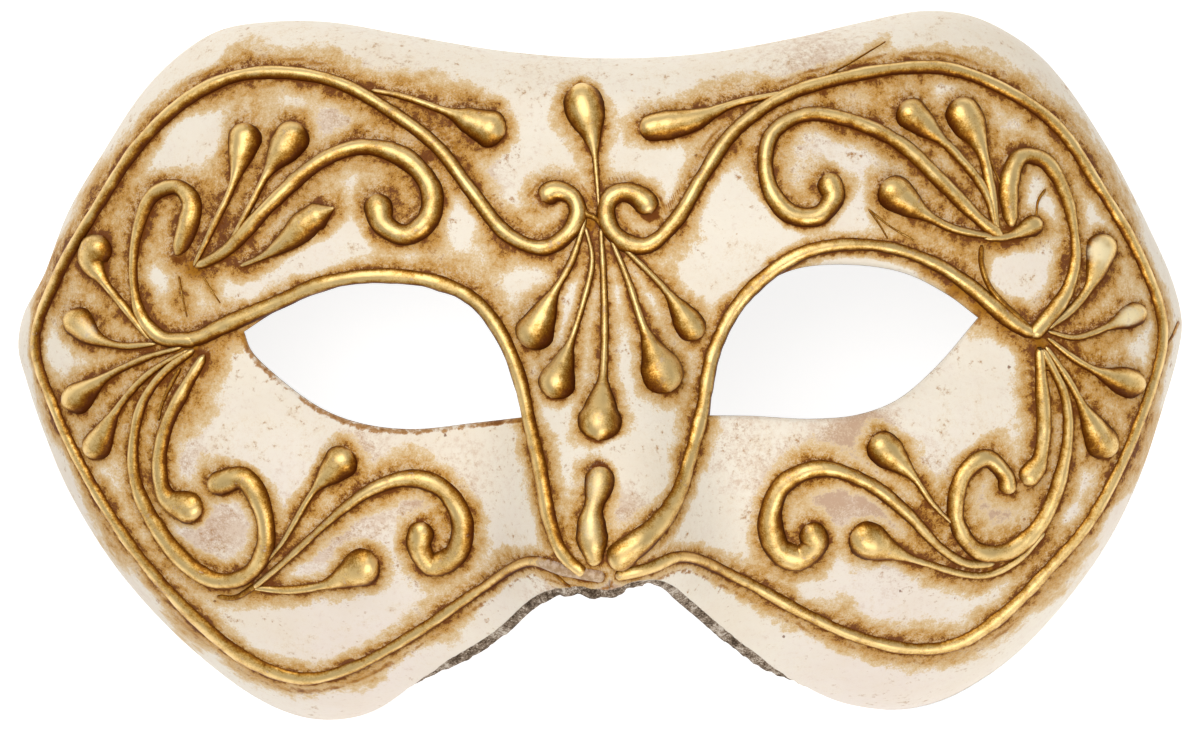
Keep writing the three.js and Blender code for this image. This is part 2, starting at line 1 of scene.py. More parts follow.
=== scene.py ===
# Colombina half mask, dressed for the camera: a gesso face with brown patina, raw papier-mache
# behind it, and gilded piped scrollwork. Plan sizes are millimetres, and meshes end in metres.

import bpy
import numpy as np
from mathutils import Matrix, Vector


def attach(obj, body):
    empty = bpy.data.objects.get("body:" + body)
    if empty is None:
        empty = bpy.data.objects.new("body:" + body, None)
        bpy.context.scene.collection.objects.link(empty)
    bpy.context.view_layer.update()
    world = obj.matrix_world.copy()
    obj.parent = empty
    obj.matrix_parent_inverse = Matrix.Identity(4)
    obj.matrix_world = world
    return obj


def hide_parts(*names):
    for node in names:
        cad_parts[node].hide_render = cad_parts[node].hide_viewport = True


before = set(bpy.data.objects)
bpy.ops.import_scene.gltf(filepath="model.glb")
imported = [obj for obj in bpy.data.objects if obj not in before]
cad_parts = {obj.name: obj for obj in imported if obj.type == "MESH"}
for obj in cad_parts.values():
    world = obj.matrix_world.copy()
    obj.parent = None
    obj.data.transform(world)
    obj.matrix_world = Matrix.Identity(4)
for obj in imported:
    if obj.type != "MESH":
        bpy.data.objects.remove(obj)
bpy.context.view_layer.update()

# The shell: torn strips of paper and glue pressed into a plaster mould, dried, and cut to its
# outline. The face and the edges carry a smooth ivory ground coat, the back stays raw paper, and
# below the nose the cut edge shows its layers.

WALL = 2.2
BROW_HEIGHT = 47.0
MIDDLE = np.array([-0.79, -0.22])
WRAP_REACH, WRAP_DEPTH = 92.5, 50.8
FOREHEAD_START, FOREHEAD_LEAN = 15.0, 0.0055
CHEEK_START, CHEEK_SPAN, CHEEK_LEAN, CHEEK_POWER = -5.0, 48.0, 28.0, 1.6
NOSE_ROOT, NOSE_TIP, NOSE_RISE, NOSE_TUCK, NOSE_WIDTH, NOSE_FLARE = 18.0, -26.0, 12.0, 0.09, 12.5, 0.06
SWELLS = ((38, 21, 26, 11, 2.5), (42, -24, 20, 13, 3.0), (35, 3, 24, 11, -5.0))
RIM_WIDTH, RIM_SIDE_WIDTH, RIM_DROP, RIM_CHEEK_DROP, RIM_NOSE_DROP = 7.5, 3.2, 9.0, 13.5, 1.0
RIM_NARROWS, CHEEK_FALLS = (58, 86), (-20, -48)
CUT_EDGE, CUT_DOWN, CUT_ACROSS = 1.7, (-26, -36), (22, 38)
LID_ROUND, RIM_ROUND = 0.6, 0.2
CUT_ROUGH, EDGE_RAGGED, EDGE_LUMPS = 0.7, 0.8, (1.6, 0.7)
# Share of the middle line from which the back is drawn out to the cut edge.
LIP_STARTS = 0.85
STEEPEST_WRAP = 0.99

TOP, LOW = (0, 46.7), (0, -35.4)
LEFT_HUMP, LEFT_TEMPLE, LEFT_CHEEK = (-50, 53.3), (-90.3, 4.2), (-42, -53.8)
RIGHT_HUMP, RIGHT_TEMPLE, RIGHT_CHEEK = (49.5, 53.2), (88.7, 5), (43.5, -53.8)
OUTLINE = [
    TOP, (-15, 48.1), (-30, 50.9), (-41, 53), LEFT_HUMP, (-58, 52.2), (-64, 48.8), (-70, 43.1),
    (-76.8, 33.2), (-81.9, 25), (-86, 15.2), (-89.4, 9.2), LEFT_TEMPLE, (-89, -1), (-86.7, -8),
    (-82.6, -18.1), (-75, -30.7), (-65, -42), (-55, -50), (-48, -53.2), LEFT_CHEEK, (-36, -52.4),
    (-25, -46.3), (-17, -41.6), (-10, -35.8), (-4.8, -34.7), LOW, (3.8, -34), (7.6, -34),
    (11, -36.8), (18, -43), (26.5, -49.1), (36, -52.7), RIGHT_CHEEK, (50, -52.8), (57, -49.4),
    (65, -43.1), (75, -31), (81, -20), (85.4, -7.9), (88, 0.4), RIGHT_TEMPLE, (87.4, 11), (84, 18.9),
    (77.1, 32.4), (70, 43.1), (65, 48), (57, 52.3), RIGHT_HUMP, (40, 51.6), (30, 49.4), (15, 47.1),
]
LIDS = {
    "left": (
        [(-54.9, 6), (-50, 9), (-43, 12), (-37, 13.2), (-30, 12.8), (-24, 11.4), (-19, 7.9),
         (-15.5, 2.2), (-13.2, -4.5), (-12.9, -7.7)],
        [(-12.9, -7.7), (-20, -8.4), (-29.6, -9.2), (-37.2, -8.2), (-43.3, -5.8), (-50, -0.8),
         (-53.8, 3.1), (-54.9, 6)],
    ),
    "right": (
        [(56.7, 6.2), (52, 9.8), (45, 13.3), (35, 14.6), (28, 13.7), (23, 10.8), (19, 5.4),
         (16.5, -1.5), (15.6, -7.9)],
        [(15.6, -7.9), (22, -8.1), (31, -8.7), (38, -8.2), (44, -6.1), (50, -1.3), (56.7, 6.2)],
    ),
}
POINT_STEPS = 16


def smooth(start, end, value):
    """0 before start, 1 after end, and 3t^2 - 2t^3 between them."""
    t = np.clip((value - start) / (end - start), 0, 1)
    return t * t * (3 - 2 * t)


def curve_through(points, closed=False):
    """Centripetal Catmull-Rom curve: each span is a cubic whose end slopes weigh the neighbouring
    spans by the square root of their lengths."""
    p = np.array(points, float)
    if closed:
        before, start, after, last = np.roll(p, 1, 0), p, np.roll(p, -1, 0), np.roll(p, -2, 0)
    else:
        ends = np.vstack([2 * p[0] - p[1], p, 2 * p[-1] - p[-2]])
        before, start, after, last = ends[:-3], ends[1:-2], ends[2:-1], ends[3:]
    g0, g1, g2 = (np.sqrt(np.hypot(*(b - a).T))[:, None]
                  for a, b in ((before, start), (start, after), (after, last)))
    slope_in = ((start - before) / g0 - (after - before) / (g0 + g1) + (after - start) / g1) * g1
    slope_out = ((after - start) / g1 - (last - start) / (g1 + g2) + (last - after) / g2) * g1
    t = (np.arange(POINT_STEPS) / POINT_STEPS)[None, :, None]
    start, after, slope_in, slope_out = (a[:, None, :] for a in (start, after, slope_in, slope_out))
    spans = (start * (2 * t**3 - 3 * t**2 + 1) + slope_in * (t**3 - 2 * t**2 + t)
             + after * (3 * t**2 - 2 * t**3) + slope_out * (t**3 - t**2))
    return np.vstack([spans.reshape(-1, 2), p[:1] if closed else p[-1:]])


def running_length(line):
    """Length along a line up to each of its points."""
    return np.concatenate([[0], np.cumsum(np.hypot(*np.diff(line, axis=0).T))])


def points_at(line, shares):
    """Points at the given shares of a line's length."""
    line = np.array(line, float)
    at = running_length(line)
    return np.stack([np.interp(np.asarray(shares) * at[-1], at, line[:, k]) for k in (0, 1)], -1)


outline = curve_through(OUTLINE, closed=True)


def outline_from(start, end):
    """The outline between two of its named points, counter-clockwise."""
    first = OUTLINE.index(start) * POINT_STEPS
    last = (OUTLINE.index(end) or len(OUTLINE)) * POINT_STEPS
    return outline[first:last + 1]


def nearest_on(line, plan):
    """Distance from plan points to a line, the nearest point on it and the line's direction there."""
    flat = plan.reshape(-1, 2)
    start, run = line[:-1], np.diff(line, axis=0)
    keep = np.hypot(*run.T) > 1e-6
    start, run = start[keep], run[keep]
    found = []
    for part in np.array_split(flat, len(flat) // 2000 + 1):
        reach = part[:, None] - start
        t = np.clip((reach * run).sum(-1) / (run * run).sum(-1), 0, 1)
        away = np.hypot(*np.moveaxis(reach - t[..., None] * run, -1, 0))
        i = away.argmin(1)
        row = np.arange(len(part))
        found.append(np.hstack([away[row, i][:, None], start[i] + t[row, i][:, None] * run[i], run[i]]))
    found = np.vstack(found).reshape(plan.shape[:-1] + (5,))
    return found[..., 0], found[..., 1:3], found[..., 3:]


def cut_share(plan):
    """How much of the rim is the raw cut edge: 1 below the nose, fading out along both cheeks."""
    return smooth(*CUT_DOWN, plan[..., 1]) * (1 - smooth(*CUT_ACROSS, np.abs(plan[..., 0] - MIDDLE[0])))


def rim_width(plan):
    """Width of the rolled rim, narrower at the temples."""
    side = smooth(*RIM_NARROWS, np.abs(plan[..., 0] - MIDDLE[0]))
    return RIM_WIDTH + (RIM_SIDE_WIDTH - RIM_WIDTH) * side


def face_height(plan):
    """Height of the face: an elliptic wrap round the head, less the quadratic lean of the forehead
    and the power-law lean of the cheeks, plus the nose ridge, the bell-shaped swells of brow, cheek
    and socket, and less a quarter ellipse that rolls the rim back."""
    x, y = plan[..., 0], plan[..., 1]
    out = np.abs(x - MIDDLE[0])
    wrap = WRAP_DEPTH * (1 - np.sqrt(1 - np.minimum(STEEPEST_WRAP, (out / WRAP_REACH) ** 2)))
    forehead = FOREHEAD_LEAN * np.maximum(0, y - FOREHEAD_START) ** 2
    cheek = CHEEK_LEAN * (np.maximum(0, CHEEK_START - y) / CHEEK_SPAN) ** CHEEK_POWER
    nose = np.exp(-((out / (NOSE_WIDTH + NOSE_FLARE * np.maximum(0, -y))) ** 3))
    ridge = NOSE_RISE * smooth(NOSE_ROOT, NOSE_TIP, y) - NOSE_TUCK * np.maximum(0, NOSE_TIP - y) ** 2
    height = BROW_HEIGHT - wrap - forehead - cheek * (1 - nose) + ridge * nose
    for sx, sy, wide, high, rise in SWELLS:
        height = height + rise * np.exp(-(((out - sx) / wide) ** 2) - ((y - sy) / high) ** 2)
    inside = np.clip(nearest_on(outline, plan)[0] / rim_width(plan), 0, 1)
    side = RIM_DROP + (RIM_CHEEK_DROP - RIM_DROP) * smooth(*CHEEK_FALLS, y)
    drop = side + (RIM_NOSE_DROP - side) * cut_share(plan)
    return height - drop * (1 - np.sqrt(1 - (1 - inside) ** 2))


SPOKES = {"crown": 66, "brow": 56, "middle": 100, "lip": 104, "cheek": 66}
LID_SHARES = (0.36, 0.64)
FLAT_RINGS, ROLL_RINGS, BACK_RINGS, WALL_ROWS = 54, 20, 18, 6
TOP_SPOKE = SPOKES["crown"] + SPOKES["brow"]
LOW_SPOKE = TOP_SPOKE + SPOKES["middle"]


def half_face(side):
    """Front face of one half: straight spokes from the eye hole to the rim or the middle line, each
    divided evenly inside and by the sine of an even turn where the rim rolls back."""
    def edge(start, end):
        return outline_from(end, start)[::-1] if side == "left" else outline_from(start, end)
    hump, temple, cheek = ((LEFT_HUMP, LEFT_TEMPLE, LEFT_CHEEK) if side == "left"
                           else (RIGHT_HUMP, RIGHT_TEMPLE, RIGHT_CHEEK))
    even = {name: np.arange(count) / count for name, count in SPOKES.items()}
    outer = np.vstack([
        points_at(edge(temple, hump), even["crown"]), points_at(edge(hump, TOP), even["brow"]),
        points_at([TOP, LOW], even["middle"]), points_at(edge(LOW, cheek), even["lip"]),
        points_at(edge(cheek, temple), even["cheek"]),
    ])
    first, second = LID_SHARES
    upper = np.concatenate([first * even["crown"], first + (second - first) * even["brow"],
                            second + (1 - second) * even["middle"]])
    below = SPOKES["lip"] + SPOKES["cheek"]
    lids = [curve_through(lid) for lid in LIDS[side]]
    hole = np.vstack([points_at(lids[0], upper), points_at(lids[1], np.arange(below) / below)])
    spoke = np.arange(len(outer))
    on_middle = (spoke > TOP_SPOKE) & (spoke < LOW_SPOKE)
    gap, _, along = nearest_on(outline, outer)
    inward = np.stack([-along[:, 1], along[:, 0]], -1) / np.hypot(*along.T)[:, None]
    inset = np.where(on_middle, 0, CUT_EDGE * cut_share(outer))
    outer = outer + inward * inset[:, None]
    outer[TOP_SPOKE:LOW_SPOKE] = points_at([TOP, outer[LOW_SPOKE]], even["middle"])
    turned = np.roll(hole, -1, 0) - np.roll(hole, 1, 0)
    off_hole = np.stack([-turned[:, 1], turned[:, 0]], -1) / np.hypot(*turned.T)[:, None]
    off_hole *= 1 if side == "left" else -1
    start = hole + LID_ROUND * off_hole
    rolled = np.where(on_middle, 1 - smooth(0, 2 * RIM_WIDTH, gap), 1)[:, None]
    share = (rim_width(outer) / np.hypot(*(outer - start).T))[:, None]
    flat = np.arange(FLAT_RINGS) / FLAT_RINGS * (1 - share)
    roll = 1 - share * (1 - np.sin(np.arange(ROLL_RINGS + 1) / ROLL_RINGS * np.pi / 2))
    t = np.hstack([flat, roll])
    t = (t * rolled + np.linspace(0, 1, t.shape[1]) * (1 - rolled))[..., None]
    plan = start[:, None] * (1 - t) + outer[:, None] * t
    return plan, off_hole


def surface_normals(points, flip):
    """Unit cross product of a grid's two differences."""
    along = np.roll(points, -1, 0) - np.roll(points, 1, 0)
    out = np.gradient(points, axis=1)
    normal = np.cross(along, out) * flip
    return normal / np.linalg.norm(normal, axis=-1, keepdims=True)


halves = {}
for side in LIDS:
    plan, off_hole = half_face(side)
    face = np.dstack([plan, face_height(plan)])
    halves[side] = [face, surface_normals(face, 1 if side == "left" else -1), off_hole]

seam = slice(TOP_SPOKE, LOW_SPOKE + 1)
shared = halves["left"][1][seam, -1] + halves["right"][1][seam, -1]
shared /= np.linalg.norm(shared, axis=-1, keepdims=True)
halves["left"][1][seam, -1] = halves["right"][1][seam, -1] = shared


def lumps(points, size, seed):
    """Value noise from 0 to 1: random numbers on a lattice of the given size, blended between its
    corners with 3t^2 - 2t^3."""
    table = np.random.default_rng(seed).random((32, 32, 32))
    place = np.asarray(points, float) / size
    if place.shape[-1] == 2:
        place = np.concatenate([place, np.zeros_like(place[..., :1])], -1)
    cell = np.floor(place).astype(int)
    part = smooth(0, 1, place - cell)
    total = 0
    for corner in np.ndindex(2, 2, 2):
        weight = np.prod(np.where(corner, part, 1 - part), -1)
        total = total + weight * table[tuple(np.moveaxis((cell + corner) % 32, -1, 0))]
    return total


def shell_grid(side):
    """One half as closed loops: front rings out to the rim, rounded wall rows to the back, back rings
    in to the eye hole, and wall rows that round its edge as a half ellipse; and how far each point is
    raw paper and is on the ragged cut edge."""
    face, normal, off_hole = halves[side]
    rim_plan = nearest_on(outline, face[:, -1, :2])[1]
    cut = cut_share(rim_plan)[:, None]
    back = face - WALL * normal
    back[:, 0] = face[:, 0] - [0, 0, WALL] / normal[:, 0, 2:]
    pull = (rim_plan - back[:, -1, :2]) * cut
    pull[seam] = pull[LOW_SPOKE] * smooth(LIP_STARTS, 1, np.linspace(0, 1, SPOKES["middle"] + 1))[:, None]
    out = np.hstack([normal[:, -1, :2], np.zeros((len(face), 1))])
    out /= np.linalg.norm(out, axis=-1, keepdims=True) + 1e-9
    cut[seam.start + 1:seam.stop - 1] = 0
    ragged = lumps(rim_plan, EDGE_LUMPS[0], 5) + 0.6 * lumps(rim_plan, EDGE_LUMPS[1], 6) - 0.8
    back[:, -1] += np.hstack([pull, 0 * cut]) + out * (EDGE_RAGGED * ragged[:, None] * cut)
    picks = np.linspace(face.shape[1] - 1, 0, BACK_RINGS).round().astype(int)
    back = back[:, picks]
    back[..., 2] = np.maximum(back[..., 2], 0)
    face = face.copy()
    face[..., 2] = np.maximum(face[..., 2], 0)
    a = (np.arange(1, WALL_ROWS) / WALL_ROWS)[None, :, None]
    rim = face[:, -1:] * (1 - a) + back[:, :1] * a
    torn = lumps(rim, 0.9, 3)[..., None] - 0.5 + 0.6 * (lumps(rim, 2.6, 4)[..., None] - 0.5)
    rim += out[:, None] * (RIM_ROUND + CUT_ROUGH * torn * cut[:, None]) * np.sin(np.pi * a)
    rim[..., 2] = np.maximum(rim[..., 2], 0)
    turn = (np.pi / 2) * (2 * a - 1)
    deep = (1 - np.sin(turn)) / 2
    into_hole = -np.hstack([off_hole, np.zeros((len(face), 1))])[:, None]
    lid = face[:, :1] * (1 - deep) + back[:, -1:] * deep + into_hole * LID_ROUND * np.cos(turn)
    raw = np.hstack([
        np.zeros(face.shape[:2]),
        smooth(0.5 - 0.47 * cut, 0.9 - 0.65 * cut, a[..., 0]),
        np.ones(back.shape[:2]), np.tile(smooth(0.1, 0.6, deep[..., 0]), (len(face), 1)),
    ])
    at_cut = np.zeros(raw.shape)
    at_cut[:, face.shape[1]:face.shape[1] + WALL_ROWS] = smooth(0, 0.3, cut)
    return np.hstack([face, rim, back, lid]), raw, at_cut


grids = {side: shell_grid(side) for side in LIDS}
spokes, around = grids["left"][0].shape[:2]
rim_ring = FLAT_RINGS + ROLL_RINGS
back_ring = rim_ring + WALL_ROWS
left_id = np.arange(spokes * around).reshape(spokes, around)
right_id = left_id + spokes * around
right_id[seam, rim_ring] = left_id[seam, rim_ring]
right_id[seam, back_ring] = left_id[seam, back_ring]
for spoke in (TOP_SPOKE, LOW_SPOKE):
    right_id[spoke, rim_ring:back_ring + 1] = left_id[spoke, rim_ring:back_ring + 1]


def loop_quads(ids, flip):
    """Quads of a grid that closes both ways, without the wall where the two halves join."""
    after = np.roll(ids, -1, 0)
    quads = np.stack([ids, after, np.roll(after, -1, 1), np.roll(ids, -1, 1)], -1)
    keep = np.ones(ids.shape, bool)
    keep[TOP_SPOKE:LOW_SPOKE, rim_ring:back_ring] = False
    quads = quads[keep]
    return quads[:, ::-1] if flip else quads


def make_piece(name, points, faces, smooth_faces=True, **values):
    """A mesh object from points in millimetres and whole arrays of faces and point values."""
    used, faces = np.unique(faces, return_inverse=True)
    faces = faces.reshape(-1, 4)
    points = (points[used] - [*MIDDLE, 0]) / 1000
    mesh = bpy.data.meshes.new(name)
    mesh.vertices.add(len(points))
    mesh.vertices.foreach_set("co", points.ravel())
    mesh.loops.add(faces.size)
    mesh.loops.foreach_set("vertex_index", faces.ravel())
    mesh.polygons.add(len(faces))
    mesh.polygons.foreach_set("loop_start", np.arange(0, faces.size, 4))
    mesh.polygons.foreach_set("use_smooth", np.full(len(faces), smooth_faces))
    mesh.update(calc_edges=True)
    for label, value in values.items():
        layer = mesh.attributes.new(label, "FLOAT", "POINT")
        layer.data.foreach_set("value", np.asarray(value, np.float32)[used])
    piece = bpy.data.objects.new(name, mesh)
    bpy.context.scene.collection.objects.link(piece)
    return piece


shell_points = np.vstack([grids[side][0].reshape(-1, 3) for side in LIDS])
shell_raw, shell_cut = (np.concatenate([grids[side][k].ravel() for side in LIDS]) for k in (1, 2))
shell_faces = np.vstack([loop_quads(left_id, False), loop_quads(right_id, True)])

# The scrollwork: thick paste of gesso and glue, piped freehand through a fine nozzle on to the
# moulded shell. Each stroke starts thin and ends in a round bead or a drop where the piper stops.

BEAD_RISE, BEAD_RISE_SHARE, BEAD_SINK, FOOT_FLARE = 0.2, 0.8, 0.9, 0.2
DROP_START, DROP_FULL_STEM, DROP_SWELL, DROP_LONGEST_HEAD, DROP_WIDTHS = 0.6, 0.33, 3.4, 0.75, 24
SECTION_STEP, SECTION_POINTS, CAP_SECTIONS, CAP_TURN, CLUB_LENGTH = 0.42, 16, 5, 0.97, 1.4
# Size of the lumps along a stroke, and their share of its half width.
SLOW_LUMPS, QUICK_LUMPS = (3.1, 0.16), (1.3, 0.1)
# The side of a stroke painted darkest, partly as pooled glaze and partly as painted shade on the
# side away from the top light: a plan direction, and its weight.
LOWER_SIDE, LOWER_WEIGHT = np.array([0.35, -0.94]), 0.34


def band(widths, *line, balls=(0.0, 0.0)):
    """A stroke whose half width runs evenly through the given ones, with round balls at its ends."""
    return np.array(line, float), np.array(widths, float), balls


def drop(stem, head, *line, swell=DROP_SWELL):
    """A stroke whose thin stem swells smoothly into a round head, over so many half widths."""
    length = running_length(curve_through(line))[-1]
    swelling = min(DROP_LONGEST_HEAD, swell * head / length)
    share = np.linspace(0, 1, DROP_WIDTHS)
    thin = stem * (DROP_START + (1 - DROP_START) * np.clip(share / DROP_FULL_STEM, 0, 1))
    return np.array(line, float), thin + (head - thin) * smooth(1 - swelling, 1, share), (0.0, 0.0)


STROKES = {}
STROKES["rim_border"] = [
    band([1.3, 1.0, 0.9, 0.85, 0.85, 0.75, 0.65, 0.65, 0.7, 0.85, 0.7, 0.65, 0.7], (-9.3, 25),
        (-7.5, 26.4), (-4.9, 25.8), (-3.8, 23.3), (-5, 20.4), (-9, 17.9), (-14.4, 19.9), (-20, 26.8),
        (-25, 33.5), (-32.7, 39.5), (-40, 43.6), (-48, 45.3), (-55.5, 44.9), (-62.5, 41.9), (-70, 35.4),
        (-76.8, 25.9), (-83.5, 15), (-87.2, 5), (-84.4, -5), (-79.1, -16.3), (-72.3, -27.2),
        (-63.2, -37.8), (-55, -44.4), (-47.4, -47.1), (-40, -45.7), (-30, -40.5), (-20, -34),
        (-12, -29.5), (-6.5, -31), (-1.5, -31.9), balls=(1.5, 0)),
    band([1.45, 1.05, 0.9, 0.85, 0.85, 0.8, 0.65, 0.65, 0.7, 0.8, 0.75, 0.75, 0.7], (7.3, 22.8),
        (6.2, 24.7), (3.5, 26.1), (1.3, 25.4), (0.4, 23.4), (1, 20.7), (3.2, 18.5), (6.6, 18),
        (10.9, 21.6), (15.2, 28.4), (20, 35), (27.7, 40.3), (36, 42.8), (45.4, 44.3), (53, 44.1),
        (62.1, 40.5), (69.5, 35), (75, 26.9), (81.9, 15), (85.3, 3.8), (81.8, -9), (73.8, -24.7),
        (67.2, -32.2), (60, -39.2), (53, -43.5), (46.5, -44.2), (37.8, -42.2), (30, -38.6), (20, -33),
        (11, -29.2), (6, -30.8), (1.5, -31.8), balls=(1.6, 0)),
]
STROKES["eye_border"] = [
    band([0.8, 1.1, 1.0, 0.95, 0.95, 1.0, 0.95, 0.9, 0.95, 0.85, 0.95, 0.9, 0.8], (-67, 4.9),
        (-62, 5.2), (-58.4, 6.8), (-50, 10.2), (-43, 13), (-35, 14.1), (-26, 13.1), (-20, 10.3),
        (-16, 5.3), (-13.2, -1.5), (-11.7, -8.5), (-10.1, -16), (-8.9, -23.2), (-7, -28.4),
        (-4.4, -31)),
    band([0.9, 1.1, 0.95, 0.8, 0.75, 0.85, 0.95, 0.95, 0.9, 0.9, 0.9, 0.9, 1.4, 1.95], (65.4, 3.4),
        (62.5, 5), (55, 11.4), (50, 14.6), (43, 17.1), (35, 17.5), (29, 15.9), (21.2, 10), (16.5, 2),
        (14.4, -7.4), (12.4, -14.4), (10.2, -20.4), (6.8, -24.9), (1.6, -29)),
]
STROKES["brow_scroll"] = [
    band([0.6, 0.95, 1.0, 1.0, 1.1, 1.3, 1.45, 1.4, 1.3], (-62, 16), (-57.5, 18.3), (-50, 25.7),
        (-42.3, 31.9), (-36, 33.7), (-29.7, 31.7), (-26, 27), (-26.6, 22.4), (-30, 20.2), (-33.4, 22),
        (-34.1, 24.6), balls=(0, 1.85)),
    band([0.8, 0.95, 1.0, 1.0, 0.95, 0.95, 1.0, 1.1, 1.25, 1.3], (60.5, 18.5), (57.1, 21.1),
        (51.7, 26.6), (45.4, 32.7), (37.8, 36.4), (30.8, 37.4), (25.7, 34.4), (24.9, 27.6), (28, 22.6),
        (32.5, 22), (34.9, 24.8), (34.4, 26.8), balls=(0, 1.65)),
    band([1.0, 1.4, 1.1, 0.9, 0.65, 0.55, 0.7, 1.0, 1.0], (-64.9, 17.9), (-63.2, 22.2), (-62.6, 26),
        (-64.8, 28.2), (-68.5, 27), (-71.2, 20.5), (-71.6, 12.9), (-70.4, 8.3), (-67.5, 5.3),
        (-63, 4.9)),
    band([1.0, 1.25, 1.2, 1.0, 0.8, 0.6, 0.8, 1.1, 1.1], (62, 20), (61.8, 26.5), (63.6, 30.5),
        (67.2, 30), (70.2, 25.4), (71.6, 19.5), (71.8, 14.5), (70.3, 9.8), (68, 6.6), (65.6, 3.9)),
]
STROKES["brow_drop"] = [
    drop(0.5, 2.3, (-62.3, 16.2), (-59.3, 22), (-56.3, 28), (-54.2, 35.5)),
    drop(0.5, 2.4, (-56.8, 19.3), (-53.5, 25.1), (-50.6, 30.4), (-47, 35.4)),
    drop(0.5, 2.4, (-34.8, 42.3), (-30, 41.2), (-24, 39), (-17, 36.1)),
    drop(0.35, 2.8, (-0.6, 23), (-0.9, 28.5), (-1.4, 34), (-2.8, 40)),
    band([0.4, 0.45, 0.5, 0.5, 0.6, 0.95, 1.5, 1.85, 1.9, 1.75], (27.5, 40.7), (20, 39.2), (14, 36.9),
        (7.4, 35.8)),
    drop(0.6, 2.1, (59.6, 19.4), (58.2, 25), (54, 30.8), (47, 37.4)),
    drop(0.7, 2.4, (59.8, 19.3), (58.9, 26), (57.4, 32.5), (54.9, 37.4)),
    drop(0.6, 2.35, (59.2, 18.4), (53, 19.8), (48.3, 22.3), (44.1, 25.4)),
    drop(0.5, 1.3, (57.8, 18.2), (61.6, 18.5), (65.4, 20.1)),
    band([0.3, 0.4, 0.6, 1.1, 1.7, 1.95, 1.8, 0.3], (-55.2, 16), (-51.5, 17.5), (-47.5, 20.1),
        (-44.3, 22.8), (-41, 24.4)),
]
STROKES["nose_ray"] = [
    drop(0.5, 2.45, (-2.7, 22.4), (-3.4, 20), (-5, 15.6), (-7.8, 10.8), (-10.7, 5.1)),
    drop(0.45, 2.3, (-2.7, 20.8), (-1.8, 16), (-3.3, 9.3), (-7.5, -2.6)),
    drop(0.55, 2.7, (-0.4, 20.6), (-0.1, 12), (-0.2, 2), (-1.1, -8.6), swell=2.8),
    drop(0.5, 2.6, (1, 19.3), (3.4, 13.2), (5.8, 5.5), (8.7, -1.8)),
    drop(0.45, 2.1, (1.8, 18.8), (4.7, 16), (9.1, 11.3), (13.1, 5.4)),
    band([1.9, 1.95, 1.75, 1.35, 1.15, 1.4, 1.8, 2.05, 2.0, 1.7, 1.2], (-1.2, -15.3), (-1.3, -17.8),
        (-1.9, -20.2), (-2.5, -22.6), (-2.6, -25), (-2.3, -28.8), balls=(1.9, 0)),
]
STROKES["temple_fan"] = [
    drop(0.55, 2, (-69.5, 5.2), (-72.8, 9.6), (-76.4, 14.2), (-78.2, 17.2), (-77.4, 19.1)),
    drop(0.5, 2, (-68.5, 4.4), (-73.8, 4.2), (-78, 5.6), (-80.5, 8)),
    drop(0.5, 1.95, (-64.5, 3.8), (-70, 2.3), (-76, -0.4), (-80.9, -3.8)),
    drop(0.5, 2, (-63.4, 3.4), (-69.4, 0), (-74, -4.7), (-77.9, -11)),
    drop(0.95, 2, (-61, 2.6), (-64, -2.3), (-67.2, -8.5), (-68.3, -14.5), (-67.2, -19), (-63.9, -20.7)),
    drop(0.6, 2.1, (67.3, 4.3), (71.2, 7.3), (74.3, 11.4), (76, 16.6)),
    drop(0.45, 1.65, (67.4, 3.9), (71.5, 2.9), (76.5, 4.4), (81, 6.4)),
    drop(0.5, 2, (67.3, 2.9), (71.5, -0.4), (75.5, -2.6), (80.2, -4.3)),
    drop(0.5, 2.3, (67, 1.6), (70.4, -3.6), (73, -8.5), (75.6, -13.3)),
    drop(0.95, 1.5, (66, 1.6), (66.2, -3), (66.5, -8), (66.4, -12.4), (65.6, -16), (64.2, -18)),
]
STROKES["cheek_scroll"] = [
    band([0.5, 0.6, 0.65, 0.75, 0.95, 1.1, 1.1, 1.05, 1.2, 1.4, 1.5], (-62.6, 3.4), (-67.3, 0),
        (-70.6, -4.5), (-72.1, -10), (-72.1, -16), (-69.8, -22), (-64.7, -29), (-60, -31.8),
        (-55.6, -31.3), (-52.4, -27.2), (-52.6, -20.8), (-55.4, -16.3), (-59.2, -17), balls=(0, 1.6)),
    band([0.55, 0.6, 0.75, 0.95, 1.1, 1.15, 1.1, 1.1, 1.05], (66.3, 1.3), (68, -1.8), (69.8, -6),
        (70.2, -12), (68.1, -20.9), (65.2, -26.2), (60.5, -29.6), (55.9, -29.2), (52.8, -24),
        (54.2, -17.4), (57.6, -15.2), (60.5, -18), (60.8, -19.4), balls=(0, 1.25)),
    band([0.45, 0.5, 0.55, 0.9, 1.2, 1.4, 1.5, 1.5], (-54.3, -33), (-49.9, -29.5), (-40, -21),
        (-35, -17.9), (-29.5, -16.7), (-24.8, -18.6), (-22.2, -23.5), (-23.4, -28.4), (-27.2, -29.8),
        (-28.9, -26.8), (-28.5, -25), balls=(0, 1.7)),
    band([0.45, 0.6, 0.8, 0.95, 0.95, 1.2, 1.4, 1.8, 1.4], (58.6, -31.3), (54.5, -31.2), (50.5, -28.8),
        (45, -23), (39, -18.4), (32, -16.3), (26.4, -18.8), (24.5, -24), (25.8, -28.6), (29, -29.8),
        (31.4, -27.4), (30.9, -26.3), balls=(0, 1.8)),
]
STROKES["cheek_drop"] = [
    drop(0.45, 2.05, (-52.3, -29.2), (-49.7, -26.2), (-44.6, -18.3), (-40.4, -14)),
    drop(0.5, 2.25, (-54.3, -33), (-49, -33.4), (-43.5, -32.7), (-37.4, -30)),
    drop(0.45, 2.3, (52.2, -25), (49.2, -21.9), (46.2, -17.6), (41.7, -13.2)),
    drop(0.45, 2.4, (66.4, -26.8), (62.6, -30.7), (57, -33.1), (47.5, -30.8), (38.9, -27.2)),
]
